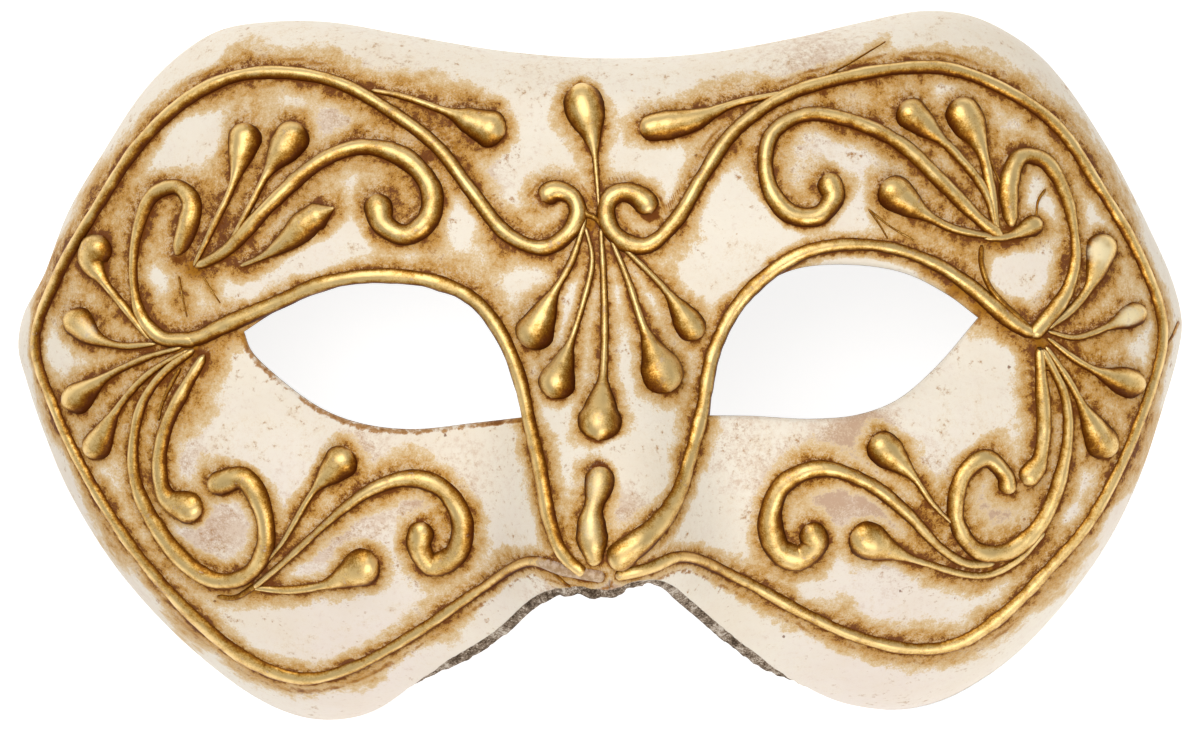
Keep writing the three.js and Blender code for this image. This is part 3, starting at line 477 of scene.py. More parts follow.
STROKES["thread"] = [
    band([0.13, 0.15, 0.1], (31.6, 41.9), (34.2, 43.3), (37.8, 45.2), (43.3, 48.4)),
    band([0.14, 0.12], (40.2, 22.9), (41.8, 20.6), (43, 18.5)),
    band([0.14, 0.12], (40.2, 22.9), (43.5, 20.2), (47, 18.1)),
    band([0.2, 0.15], (67.4, 25.6), (66.2, 23.8), (65.9, 21.6)),
    band([0.15, 0.15], (58.3, 31.4), (60.9, 25.6)),
    band([0.3, 0.2], (-64.7, 0.7), (-66.3, -2), (-67.7, -5), (-68.2, -7.1)),
    band([0.6, 0.4, 0.3, 0.35, 0.4], (-3.4, 24.2), (-2.6, 22.9), (-1.3, 22.3), (-0.2, 20.9),
        (0.8, 19.4), (2.2, 18.3)),
    band([0.25, 0.35, 0.2], (-68.5, -26.4), (-67.2, -27.9), (-65.7, -29.2)),
    band([0.35, 0.3], (65.6, -1.9), (67.2, -1.7), (69, -2.2)),
    band([0.35, 0.4, 0.4], (57.4, 17.2), (57.3, 14.5), (58.8, 10.4), (64.7, 4.4)),
    band([0.3, 0.4], (-59.9, -34.3), (-57.2, -34.5), (-54.2, -32.9)),
    band([0.15, 0.1], (-64.7, 14.6), (-64.2, 11.5), (-63.6, 8.5)),
    band([0.12, 0.1], (-61, 14.5), (-59.5, 12), (-58.5, 10.5)),
    band([0.25, 0.15], (-8.6, -31.2), (-6.6, -33), (-4.8, -34)),
    band([0.2, 0.15], (88, 5.2), (87, 3.2), (85.9, 1.5)),
]


def stroke_path(stroke):
    """A stroke's spine at even steps, its plan direction, and the half width at each step: the given
    one with slow and quick lumps, swelling as a bell into the ball at either end that has one."""
    line, widths, balls = stroke
    fine = curve_through(line)
    count = int(np.ceil(running_length(fine)[-1] / SECTION_STEP)) + 1
    share = np.linspace(0, 1, count)
    spine = points_at(fine, share)
    half = np.interp(share, np.linspace(0, 1, len(widths)), widths)
    slow, quick = (much * (lumps(spine, size, seed) - 0.5)
                   for (size, much), seed in ((SLOW_LUMPS, 7), (QUICK_LUMPS, 8)))
    half = half * (1 + slow + quick)
    run = share * running_length(fine)[-1]
    for radius, off in ((balls[0], run - balls[0]), (balls[1], run[-1] - run)):
        round_off = np.sqrt(np.maximum(radius**2 - off**2, 0))
        club = half + (radius - half) * np.exp(-((off / (CLUB_LENGTH * radius + 1e-9)) ** 2))
        half = np.where(off < 0, round_off, np.maximum(half, club) if radius else half)
    along = np.gradient(spine, axis=0)
    return spine, half, along / np.hypot(*along.T)[:, None]


def bead(stroke):
    """A stroke's closed skin: half-ellipse sections on a sunk foot, carried along the spine at the
    height of the face, tapering at the start and closing as a quarter ellipse at the end. With it
    the flank: 0 on the crest, 1 at the foot, and more on the lower side, for glaze pooled there and
    for painted shade."""
    spine, half, along = stroke_path(stroke)
    rise = BEAD_RISE * np.minimum(1, half / 0.5) + BEAD_RISE_SHARE * half
    start = np.clip((np.arange(len(spine)) * SECTION_STEP + 0.15) / (1.2 * half[0] + 0.3), 0, 1)
    half, rise = half * np.sqrt(start), rise * np.sqrt(start)
    turn = np.linspace(0, np.pi / 2, CAP_SECTIONS + 1)[1:] * CAP_TURN
    spine = np.vstack([spine, spine[-1] + along[-1] * half[-1] * np.sin(turn)[:, None]])
    along = np.vstack([along, np.repeat(along[-1:], CAP_SECTIONS, 0)])
    half = np.concatenate([half, half[-1] * np.cos(turn)])
    rise = np.concatenate([rise, rise[-1] * np.cos(turn)])
    sunk = BEAD_SINK * np.clip(half / 0.6, 0.4, 1)
    phi = np.arange(SECTION_POINTS) * 2 * np.pi / SECTION_POINTS
    across = np.cos(phi) * (1 + FOOT_FLARE * (1 - np.abs(np.sin(phi))) ** 3)
    lift = np.where(np.sin(phi) > 0, np.sin(phi) * rise[:, None], np.sin(phi) * sunk[:, None])
    aside = np.stack([-along[:, 1], along[:, 0]], -1)
    plan = spine[:, None] + aside[:, None] * (half[:, None] * across)[..., None]
    up = plan_normals(spine)
    points = np.dstack([plan, face_height(plan)]) + up[:, None] * lift[..., None]
    flank = 1 - np.clip(np.sin(phi), 0, 1) + LOWER_WEIGHT * np.cos(phi) * (aside @ LOWER_SIDE)[:, None]
    return points, flank


def plan_normals(plan):
    """Unit normals of the face at plan points, from its heights a little to each side."""
    step = 0.3
    slope = [(face_height(plan + d) - face_height(plan - d)) / (2 * step) for d in ([step, 0], [0, step])]
    normal = np.stack([-slope[0], -slope[1], np.ones_like(slope[0])], -1)
    return normal / np.linalg.norm(normal, axis=-1, keepdims=True)


def skin_quads(sections, first):
    """Quads of a tube of sections; both ends are closed by quads across the section."""
    ids = first + np.arange(sections * SECTION_POINTS).reshape(sections, SECTION_POINTS)
    ahead = np.roll(ids, -1, 1)
    sides = np.stack([ids[:-1], ahead[:-1], ahead[1:], ids[1:]], -1).reshape(-1, 4)
    k = np.arange(SECTION_POINTS // 2 - 1)
    across = np.stack([k, k + 1, SECTION_POINTS - 2 - k, SECTION_POINTS - 1 - k], -1)
    return np.vstack([sides, ids[0][across][:, ::-1], ids[-1][across]])


# Drops worn to the gesso, with a pale painted highlight on their crests, and border ends that the
# gold never covered: place, radius, strength.
WORN_AND_HIGHLIGHT_SPOTS = (
    (75.5, 16, 2.6, 1.1), (80, 6, 2.4, 0.9), (-79, 7, 2.5, 0.6), (-2, -18, 3, 0.5),
    (-2.4, -25, 3.5, 0.55), (-1.2, -8.5, 2, 0.3), (8.5, -1, 2.5, 0.4), (-7.5, -2, 2.5, 0.3),
    (2, -10, 3, 0.2),
)
UNGILDED_SPOTS = ((-9.6, -30.0, 2.2, 0.7), (-6.2, -31.1, 2.4, 1.4), (-2.0, -31.7, 2.2, 1.4))


def patches(plan, spots):
    """Sum of bell shapes: strength times exp(-(distance / radius)^2)."""
    total = np.zeros(len(plan))
    for x, y, radius, strength in spots:
        total += strength * np.exp(-((plan - [x, y]) ** 2).sum(1) / radius**2)
    return total


relief = {}
for name, strokes in STROKES.items():
    points, flanks, faces, count = [], [], [], 0
    for stroke in strokes:
        skin, flank = bead(stroke)
        faces.append(skin_quads(len(skin), count))
        points.append(skin.reshape(-1, 3))
        flanks.append(flank.ravel())
        count += flank.size
    points, flanks = np.vstack(points), np.concatenate(flanks)
    if name == "thread":
        flanks = 0.45 + 0.5 * flanks
    relief[name] = make_piece(name, points, np.vstack(faces), flank=flanks,
                              worn=patches(points[:, :2], WORN_AND_HIGHLIGHT_SPOTS),
                              ungilded=patches(points[:, :2], UNGILDED_SPOTS) * (name == "rim_border"))
    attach(relief[name], "root")

# Ground coat and patina: the whole face is sealed with ivory gesso, rubbed smooth, then brushed
# with thin brown glaze and wiped, so that the brown stays along every stroke in stippled edges and
# in dry-brushed patches. The back and the cut edge keep the grey-brown of the raw paper.

IVORY = (0.82, 0.745, 0.625)
IVORY_WARM = (0.74, 0.60, 0.43)
IVORY_ROSE = (0.80, 0.70, 0.625)
MAUVE = (0.44, 0.245, 0.135)
MAUVE_PALE = (0.60, 0.42, 0.28)
UMBER = (0.065, 0.014, 0.001)
# Glaze from a stroke's foot outwards: share of the ramp, and colour.
GLAZE = (
    (0.0, (0.15, 0.038, 0.001)), (0.06, (0.36, 0.145, 0.008)), (0.14, (0.50, 0.250, 0.042)),
    (0.28, (0.57, 0.335, 0.115)), (0.46, (0.65, 0.455, 0.23)), (0.66, (0.72, 0.56, 0.36)),
    (1.0, (0.79, 0.69, 0.53)),
)
RAW_PAPER = (0.33, 0.26, 0.195)
RAW_GREY = (0.20, 0.175, 0.15)
RAW_DARK = (0.06, 0.043, 0.03)
# The raw cut edge: pits, dirty layers of paper, and flecks of plaster.
CUT_LAYERS = (
    (0.2, (0.06, 0.038, 0.023)), (0.4, (0.18, 0.130, 0.088)), (0.6, (0.30, 0.225, 0.16)),
    (0.78, (0.58, 0.50, 0.41)),
)

GLAZE_REACH = 1.5
# Where the glaze was left wider, or wiped away: place, radius, and how many millimetres it adds.
POOLS = (
    (-63, 4, 7, 2.4), (66, 3, 7, 2.4), (-1, 21, 5, 2.0), (-57, 19, 7, 1.8), (57, 20, 7, 1.8),
    (-22, 38, 8, 1.8), (18, 38, 7, 1.0), (-30, 15, 12, 0.8), (-44, 45, 12, 1.0), (-72, 34, 9, 0.7),
    (-66, -8, 7, 1.4), (71, -6, 7, 1.2), (-54, -31, 7, 1.0), (58, -30, 8, 1.0), (-30, -18, 7, 0.5),
    (30, -18, 7, 0.6), (-75, 10, 8, 1.2), (76, 8, 8, 1.0), (-12, 14, 7, 1.0), (13, 14, 7, 0.8),
    (48, 35, 8, 0.9), (-31, 27, 7, 1.0), (30, 28, 7, 0.9), (50, -46, 9, 1.2), (-55, -46, 8, 0.5),
    (64, 26, 7, 0.8), (-66, 24, 7, 0.9), (0, -14, 9, -0.6), (0, 2, 9, -0.3), (0, -34, 4.5, -1.2),
    (-14, -34, 6, -0.9), (12, -32.5, 4, -0.6),
    (-44, 5, 9, -0.3), (44, -36, 9, -0.3), (-88, 4, 7, -1.4), (-83, -14, 7, -0.8), (86, -2, 7, -0.8),
    (84, 15, 6, -0.6), (-40, 34, 14, 0.5), (40, 26, 14, 0.4),
    (-54, 12, 5, -1.6), (-44, 17, 4, -1.2), (-37.5, 29, 4, -1.0), (-37.7, 20.5, 3.5, -1.2),
    (-12, 13, 4, -1.3), (-21, 21.5, 4, -1.2), (-43, 38, 5, -0.9), (-64, 36, 5, -1.2), (-69, 15, 3.5, -1.4),
    (-75, 6, 3, -1.0), (-18, 30, 6, -1.0), (26, 21, 7, -1.2), (18, 13, 6, -1.2), (10, 32, 5, -1.0),
    (33, 30, 5, -0.8), (38, 22, 5, -1.0), (50, 40, 5, -0.7), (62, 13, 5, -1.4), (67, 22, 4, -1.0),
    (76, 20, 4, -0.9), (-60, -24, 6, -0.8), (60, -23, 4, -0.6), (-35, -24, 5, -0.8), (38, -24, 5, -0.8),
    (-50, -36, 9, -0.7), (55, -37, 7, -0.6), (-48, -12, 8, -0.8), (46, -8, 8, -0.8),
)
# Dry-brushed patches between strokes: place, radius, and strength.
DRY_PATCHES = (
    (-33, 39, 8, 0.8), (-20, 30, 6, 0.8), (-45, 33, 7, 0.4), (-66, 0, 7, 0.7), (-1, 8, 9, 0.3),
    (35, 40, 8, 0.7), (24, 34, 6, 0.6), (62, 36, 8, 0.5), (46, -24, 9, 1.1), (-42, -24, 8, 0.8),
    (28, -20, 7, 0.9), (-26, -20, 7, 0.7), (72, -6, 8, 0.8), (-74, -2, 8, 0.5), (66, -30, 8, 0.4),
    (-64, -28, 8, 0.4), (58, -24, 6, 1.0), (16, -14, 5, 0.3), (-16, -14, 5, 0.2),
    (36, -14, 6, 0.9), (30, 48, 9, 0.3), (-6, 44, 9, 0.3), (-5, -23.5, 4, 0.8), (3, -22, 4, 0.8),
    (1, -33, 5, 1.1), (-8, -32.5, 4, 0.7),
    (39.5, -11, 4, 1.2), (21, -9.5, 5, 0.3), (31, -21.5, 4, 0.8), (40, -18.5, 5, 0.7), (74, -1, 5, 0.8),
    (-59, -23, 6, 0.6), (-63.5, -13, 4, 0.5), (-73, -10.5, 5, 0.7), (-38, -12.5, 4, 0.8),
    (-26, -22.5, 4, 0.7),
    (-42, 39, 5, 0.3), (-28.5, 29.5, 4, 0.6), (47, 33, 6, 0.5), (53, 20, 4, 0.6),
)
# Nodes where strokes meet and the glaze fills every gap: place, radius, and strength.
NODES = (
    (-63.8, 3.3, 1.7, 0.8), (66.2, 1.9, 1.4, 0.9), (-2, 21.3, 1.1, 1.3), (-62.3, 15.8, 2.0, 0.8),
    (59.5, 18.4, 2.0, 0.8), (-54.3, -33, 1.8, 0.7), (58, -31.2, 1.6, 0.7), (-56.5, 18.5, 1.6, 0.6),
    (-61, 5.8, 4.0, 0.35), (55, 9.5, 4.0, 0.45), (49, 13.2, 1.5, 0.6), (53, 10.3, 1.5, 0.7),
    (57, 7.2, 1.6, 0.7), (61, 4.6, 1.5, 0.6), (-26, 18.5, 2.5, 0.5),
)
# Dark specks in the gesso, and pits in the gilding: place and radius.
SPECKS = ((-24.5, -10.2, 0.22), (-23.9, -45, 0.2), (26.4, -41.9, 0.22), (44.2, -35.2, 0.2),
          (61.3, -1.4, 0.25), (-60.3, -35, 0.2), (14.2, 31.5, 0.2))
PITS = ((26.9, -21.3, 0.35), (40.3, -11.3, 0.3), (36.5, -26.2, 0.35), (-2, 21.3, 0.5),
        (66.2, 1.6, 0.55), (46.9, -27.8, 0.3))
# Cheeks and margins where the ivory turns rosy: place, radius, and strength.
ROSY_PATCHES = (
    (-38, -48, 14, 0.9), (40, -50, 14, 0.9), (-45, -25, 16, 0.6), (45, -28, 16, 0.5),
    (-72, -20, 14, 0.6), (74, -20, 14, 0.6), (-50, 25, 14, 0.4), (40, 30, 12, 0.4),
    (66, 12, 10, 0.4), (-20, -30, 10, 0.4),
)


FAR = 9.0
THREAD_SETBACK = 1.2


def stroke_gap(plan):
    """Plan distance from points to the nearest stroke's edge, at most FAR, and how far they lie below
    that stroke: 1 straight down from it and -1 straight up. Threads hold less glaze, so they count
    as further away."""
    gap, below = np.full(len(plan), FAR), np.zeros(len(plan))
    for name, strokes in STROKES.items():
        for stroke in strokes:
            spine, half, _ = stroke_path(stroke)
            half = half - THREAD_SETBACK * (name == "thread")
            near = np.flatnonzero(((plan > spine.min(0) - FAR) & (plan < spine.max(0) + FAR)).all(1))
            for part in np.array_split(near, len(near) // 3000 + 1):
                if not len(part):
                    continue
                off = plan[part, None] - spine
                far = np.hypot(*np.moveaxis(off, -1, 0))
                row, i = np.arange(len(part)), (far - half).argmin(1)
                nearer = (far - half)[row, i] < gap[part]
                gap[part[nearer]] = (far - half)[row, i][nearer]
                below[part[nearer]] = ((off @ LOWER_SIDE)[row, i] / (far[row, i] + 0.01))[nearer]
    return gap, below


def glaze_reach(plan, edge):
    """How far the glaze reaches from a stroke, in millimetres: a base plus the pools, times slow
    lumps so that it comes and goes along each stroke, and wiped short on the right eye's upper lid."""
    wander = 0.45 + 1.1 * lumps(plan, 6, 21) * (0.5 + lumps(plan, 17, 22))
    reach = np.maximum((GLAZE_REACH + patches(plan, POOLS)) * wander, 0.5)
    lid = patches(plan, ((42, 16, 15, 1.0),)) * smooth(2.2, 0.6, edge)
    return reach * (1 - 0.6 * np.minimum(lid, 1))


def node(tree, kind, inputs=None, **settings):
    """Adds a node, sets its properties, and fills its inputs with values or links."""
    made = tree.nodes.new(kind)
    for key, value in settings.items():
        setattr(made, key, value)
    for key, value in (inputs or {}).items():
        if isinstance(value, bpy.types.NodeSocket):
            tree.links.new(value, made.inputs[key])
        else:
            made.inputs[key].default_value = value
    return made


def math(tree, operation, a, b=0.0, clamp=False):
    """One Math node's result."""
    return node(tree, "ShaderNodeMath", {0: a, 1: b}, operation=operation, use_clamp=clamp).outputs[0]


def vector(tree, operation, a, b):
    """One Vector Math node's vector."""
    return node(tree, "ShaderNodeVectorMath", {0: a, 1: b}, operation=operation).outputs["Vector"]


def ramp(tree, value, start, end, low=0.0, high=1.0):
    """Smooth step of a value from start to end, either of which may be the larger."""
    return node(tree, "ShaderNodeMapRange", {"Value": value, "From Min": start, "From Max": end,
                "To Min": low, "To Max": high}, interpolation_type="SMOOTHSTEP").outputs["Result"]


def noise(tree, place, scale, detail=4.0, roughness=0.6):
    """Noise in cycles per millimetre."""
    return node(tree, "ShaderNodeTexNoise", {"Vector": place, "Scale": scale, "Detail": detail,
                "Roughness": roughness}).outputs["Fac"]


def blend(tree, factor, under, over, strength=1.0):
    """Lays one colour over another by a factor times a strength."""
    if strength != 1.0:
        factor = math(tree, "MULTIPLY", factor, strength)
    mix = node(tree, "ShaderNodeMix", {"Factor": factor}, data_type="RGBA")
    for socket, colour in ((mix.inputs[6], under), (mix.inputs[7], over)):
        if isinstance(colour, bpy.types.NodeSocket):
            tree.links.new(colour, socket)
        else:
            socket.default_value = (*colour, 1)
    return mix.outputs[2]


def colour_ramp(tree, value, stops):
    """Colours blended along a value, each stop a value from 0 to 1 and its colour."""
    made = node(tree, "ShaderNodeValToRGB", {"Fac": value})
    elements = made.color_ramp.elements
    for at, _ in stops[1:-1]:
        elements.new(at)
    for element, (at, colour) in zip(elements, stops):
        element.position, element.color = at, (*colour, 1)
    return made.outputs["Color"]


def millimetres(tree):
    """Object coordinates in millimetres."""
    place = node(tree, "ShaderNodeTexCoord").outputs["Object"]
    return vector(tree, "MULTIPLY", place, (1000, 1000, 1000))


def value_of(tree, name):
    """A point value of the mesh."""
    return node(tree, "ShaderNodeAttribute", attribute_name=name).outputs["Fac"]


def new_group(name, inputs, outputs):
    """An empty shader group with the given inputs and outputs."""
    tree = bpy.data.node_groups.new(name, "ShaderNodeTree")
    for sockets, side in ((inputs, "INPUT"), (outputs, "OUTPUT")):
        for label, kind in sockets:
            tree.interface.new_socket(label, in_out=side, socket_type="NodeSocket" + kind)
    return tree, tree.nodes.new("NodeGroupInput").outputs, tree.nodes.new("NodeGroupOutput").inputs


def use_group(tree, group, **given):
    """Places a node group with its own values, and gives its outputs."""
    use = node(tree, "ShaderNodeGroup", node_tree=group)
    for key, value in given.items():
        if isinstance(value, bpy.types.NodeSocket):
            tree.links.new(value, use.inputs[key])
        else:
            use.inputs[key].default_value = value
    return use.outputs


def wipe_marks_group():
    """Marks of the wiping cloth: coarse tongues, fine grain and finer specks, each a noise less its
    middle, to shift any value by before an edge is cut in it."""
    outputs = (("Tongues", "Float"), ("Grain", "Float"), ("Specks", "Float"))
    tree, given, result = new_group("wipe_marks", (("Place", "Vector"),), outputs)
    noises = (("Tongues", 0.3, 3, 0.55), ("Grain", 1.0, 5, 0.72), ("Specks", 3.6, 2, 0.8))
    for name, scale, detail, roughness in noises:
        shift = math(tree, "SUBTRACT", noise(tree, given["Place"], scale, detail, roughness), 0.5)
        tree.links.new(shift, result[name])
    return tree


def torn_paper_group():
    """Overlapping strips of torn paper: cells of a stretched Voronoi, bent by noise, each with its
    own tone, a dark line and a step in height where two meet, and fibres over all."""
    outputs = (("Tone", "Float"), ("Seam", "Float"), ("Height", "Float"))
    tree, given, result = new_group("torn_paper", (("Place", "Vector"),), outputs)
    wander = node(tree, "ShaderNodeTexNoise", {"Vector": given["Place"], "Scale": 0.16, "Detail": 5.0})
    bend = vector(tree, "MULTIPLY", wander.outputs["Color"], (14, 14, 14))
    bent = vector(tree, "ADD", given["Place"], bend)
    strips = node(tree, "ShaderNodeMapping", {"Vector": bent, "Rotation": (0, 0, 0.5),
                  "Scale": (0.035, 0.075, 0.02)})
    cells = node(tree, "ShaderNodeTexVoronoi", {"Vector": strips.outputs[0], "Scale": 1.0})
    tone = node(tree, "ShaderNodeSeparateColor", {"Color": cells.outputs["Color"]}).outputs["Red"]
    border = node(tree, "ShaderNodeTexVoronoi", {"Vector": strips.outputs[0], "Scale": 1.0},
                  feature="DISTANCE_TO_EDGE").outputs["Distance"]
    fibre = noise(tree, given["Place"], 1.3, 8, 0.72)
    shade = math(tree, "ADD", math(tree, "MULTIPLY", tone, 0.3), math(tree, "MULTIPLY", fibre, 0.8))
    tree.links.new(shade, result["Tone"])
    tree.links.new(ramp(tree, border, 0.035, 0.0), result["Seam"])
    step = math(tree, "MULTIPLY", ramp(tree, border, 0.0, 0.05), 0.5)
    height = math(tree, "ADD", math(tree, "ADD", step, tone), math(tree, "MULTIPLY", fibre, 0.7))
    tree.links.new(height, result["Height"])
    return tree


def spot_group():
    """A round blemish: 1 within a plan distance of a spot, and 0 a quarter of a radius further."""
    inputs = (("Place", "Vector"), ("Spot", "Vector"), ("Radius", "Float"))
    tree, given, result = new_group("spot", inputs, (("Mask", "Float"),))
    plan = vector(tree, "MULTIPLY", given["Place"], (1, 1, 0))
    apart = node(tree, "ShaderNodeVectorMath", {0: plan, 1: given["Spot"]}, operation="DISTANCE")
    ragged = math(tree, "MULTIPLY", math(tree, "SUBTRACT", noise(tree, plan, 3.0), 0.5), 0.5)
    away = math(tree, "ADD", apart.outputs["Value"], ragged)
    tree.links.new(ramp(tree, math(tree, "DIVIDE", away, given["Radius"]), 1.25, 0.8), result["Mask"])
    return tree


WIPE_MARKS = wipe_marks_group()
SPOT = spot_group()
TORN_PAPER = torn_paper_group()


def stippled(tree, marks, value, tongues, grain, specks=0.0):
    """A value shifted by the wipe marks, each times a strength."""
    for name, strength in (("Tongues", tongues), ("Grain", grain), ("Specks", specks)):
        if strength:
            value = math(tree, "ADD", value, math(tree, "MULTIPLY", marks[name], strength))
    return value


def spot_at(tree, place, x, y, radius):
    """A spot's mask, from its plan place on the mask."""
    centre = (x - MIDDLE[0], y - MIDDLE[1], 0)
    return use_group(tree, SPOT, Place=place, Spot=centre, Radius=radius)["Mask"]


def new_material(name):
    """A material with its Principled shader and its place in millimetres."""
    made = bpy.data.materials.new(name)
    made.use_nodes = True
    tree = made.node_tree
    return made, tree, tree.nodes["Principled BSDF"], millimetres(tree)


def gesso_material():
    """Ivory gesso, blotched warm and rosy; glaze from each stroke out to the reach, by the share
    gap / reach; the darkest glaze in the pits and along the foot; a wider dark foot and less wiping
    below each stroke, partly pooled glaze and partly painted shade; mauve-brown dry brush; and raw
    paper where the coat ends."""
    made, tree, shader, place = new_material("gesso_with_patina")
    gap, pool, below, line = (value_of(tree, name) for name in ("gap", "pool", "below", "line"))
    dry, rosy, raw, cut = (value_of(tree, name) for name in ("dry", "rosy", "raw", "cut"))
    marks = use_group(tree, WIPE_MARKS, Place=place)
    # The ground and its stains.
    blotch = ramp(tree, noise(tree, place, 0.06, 4, 0.6), 0.4, 0.72)
    ground = blend(tree, stippled(tree, marks, rosy, -0.8, 0.6), IVORY, IVORY_ROSE)
    ground = blend(tree, blotch, ground, IVORY_WARM, 0.3)
    mottle = ramp(tree, noise(tree, place, 1.5, 5, 0.75), 0.5, 0.72)
    ground = blend(tree, mottle, ground, IVORY_WARM, 0.35)
    # Dry brush: a pale film, and a darker scumble in its middle.
    bare = math(tree, "SUBTRACT", 1.0, dry)
    film = ramp(tree, stippled(tree, marks, bare, 1.2, -1.6, 0.8), 0.82, 0.2)
    ground = blend(tree, film, ground, MAUVE_PALE, 0.6)
    scumble = ramp(tree, stippled(tree, marks, bare, -1.2, -2.0, 1.5), 0.65, -0.25)
    ground = blend(tree, scumble, ground, MAUVE, 0.65)
    # Glaze along the strokes, with pits, wiped patches and a dark foot; below each stroke the wiping
    # is less and the foot wider, partly pooled glaze and partly painted shade.
    share = math(tree, "DIVIDE", gap, pool)
    tone = stippled(tree, marks, share, 2.3, 2.0, 1.8)
    glaze = colour_ramp(tree, math(tree, "MULTIPLY", tone, 0.4), GLAZE)
    glazed = stippled(tree, marks, share, 2.5, 2.2, 1.3)
    ground = blend(tree, ramp(tree, glazed, 1.85, 1.42), ground, glaze, 0.97)
    pits = ramp(tree, stippled(tree, marks, share, 1.0, 2.0, -6.0), 0.05, -0.25)
    ground = blend(tree, pits, ground, GLAZE[0][1], 0.5)
    # Less wiping below a stroke and more above it: painted shade below and painted light above.
    lower = math(tree, "MULTIPLY", below, 0.22)
    wiped = math(tree, "SUBTRACT", stippled(tree, marks, 0.0, 1.6, 1.6, 1.8), lower)
    ground = blend(tree, ramp(tree, wiped, 0.18, 0.62), ground, IVORY_WARM, 0.5)
    # The dark foot widened below a stroke: pooled glaze and painted shade.
    lower = math(tree, "MULTIPLY", below, 0.35)
    foot = math(tree, "SUBTRACT", stippled(tree, marks, gap, 1.0, 1.6), lower)
    ground = blend(tree, ramp(tree, foot, 0.3, -0.1), ground, GLAZE[0][1], 0.75)
    # Traced lines, nodes, and specks.
    traced = stippled(tree, marks, line, 1.6, 2.6)
    ground = blend(tree, ramp(tree, traced, 0.3, 0.8), ground, GLAZE[1][1], 0.85)
    ground = blend(tree, ramp(tree, traced, 0.8, 1.3), ground, GLAZE[0][1], 0.8)
    for x, y, radius in SPECKS:
        ground = blend(tree, spot_at(tree, place, x, y, radius), ground, GLAZE[0][1], 0.75)
    speck = ramp(tree, noise(tree, place, 0.8, 1, 0.5), 0.78, 0.82)
    ground = blend(tree, speck, ground, GLAZE[2][1], 0.6)
    # Raw paper on the back, and its layers on the cut edge.
    strips = use_group(tree, TORN_PAPER, Place=place)
    paper = colour_ramp(tree, strips["Tone"], ((0.25, RAW_DARK), (0.5, RAW_GREY), (0.85, RAW_PAPER)))
    paper = blend(tree, strips["Seam"], paper, RAW_DARK, 0.55)
    layers = colour_ramp(tree, stippled(tree, marks, 0.48, 1.4, 1.8, 1.6), CUT_LAYERS)
    paper = blend(tree, cut, paper, layers)
    coat_end = ramp(tree, stippled(tree, marks, raw, 0.25, 0.5), 0.42, 0.58)
    tree.links.new(blend(tree, coat_end, ground, paper), shader.inputs["Base Color"])
    rough = ramp(tree, glazed, 1.2, 0.2, 0.45, 0.6)
    rough = math(tree, "ADD", math(tree, "MULTIPLY", coat_end, 0.35), rough)
    tree.links.new(rough, shader.inputs["Roughness"])
    shader.inputs["Specular IOR Level"].default_value = 0.08
    skin = math(tree, "MULTIPLY", noise(tree, place, 0.25, 5, 0.55), 0.5)
    grain = math(tree, "MULTIPLY", marks["Grain"], 0.09)
    rough_paper = math(tree, "MULTIPLY", strips["Height"], math(tree, "MULTIPLY", coat_end, 0.45))
    height = math(tree, "ADD", math(tree, "ADD", skin, grain), rough_paper)
    bump = node(tree, "ShaderNodeBump", {"Strength": 0.4, "Distance": 0.001, "Height": height})
    tree.links.new(bump.outputs["Normal"], shader.inputs["Normal"])
    return made


LINE_AWAY, LINE_WIDTH, LINE_FADES = 1.3, 0.3, (58, 76)


def second_line(plan):
    """Strength of the thin brown line outside each rim border: a bell across it, a little away from
    the bead's edge on the side of the outline, broken by slow lumps and fading at the temples."""
    total = np.zeros(len(plan))
    for stroke in STROKES["rim_border"]:
        spine, half, _ = stroke_path(stroke)
        away, foot, _ = nearest_on(spine, plan)
        outside = nearest_on(outline, plan)[0] < nearest_on(outline, foot)[0] - 0.3
        total += outside * np.exp(-(((away - half.mean() - LINE_AWAY) / LINE_WIDTH) ** 2))
    return total * (0.2 + lumps(plan, 5, 31)) * (1 - 0.8 * smooth(*LINE_FADES, np.abs(plan[:, 0])))


shell_plan = shell_points[:, :2]
is_front = shell_raw < 0.999
gap, lid_gap = np.full((2, len(shell_points)), FAR)
below, line = np.zeros((2, len(shell_points)))
# How far each point lies below its nearest stroke, for the pooled glaze and painted shade there.
gap[is_front], below[is_front] = stroke_gap(shell_plan[is_front])
by_lid = is_front & (gap < 2.6) & (np.abs(shell_plan - [42, 15]) < [24, 8]).all(1)
lid_gap[by_lid] = nearest_on(curve_through(LIDS["right"][0]), shell_plan[by_lid])[0]
by_border = is_front & (gap > 0.5) & (gap < 2.1)
line[by_border] = second_line(shell_plan[by_border])
line[is_front] += patches(shell_plan[is_front], NODES)
# A brown line on the lower lids' front edge, strong on the left one.
lower_lid = np.zeros((2, spokes, around))
lower_lid[0, LOW_SPOKE:, [0, -1, -2, -3]] = 0.8
lower_lid[1, LOW_SPOKE:, [0, -1, -2, -3]] = 0.16
line += lower_lid.ravel() * (0.4 + lumps(shell_points, 4, 33))
shell = make_piece("mask_shell", shell_points, shell_faces, raw=shell_raw, cut=shell_cut, gap=gap,
                   below=below, line=line,
                   pool=glaze_reach(shell_plan, lid_gap), dry=patches(shell_plan, DRY_PATCHES),
                   rosy=patches(shell_plan, ROSY_PATCHES))
shell.data.materials.append(gesso_material())
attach(shell, "root")
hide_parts("colombina_mask")

# Gilding: warm gold paint brushed over every stroke, with the brown glaze left along its flanks and
# rubbed off its crest, and painted shade darkening the flanks further. It has worn to the gesso on a
# few drops, whose crests also carry a pale painted highlight, and missed the borders' last ends.

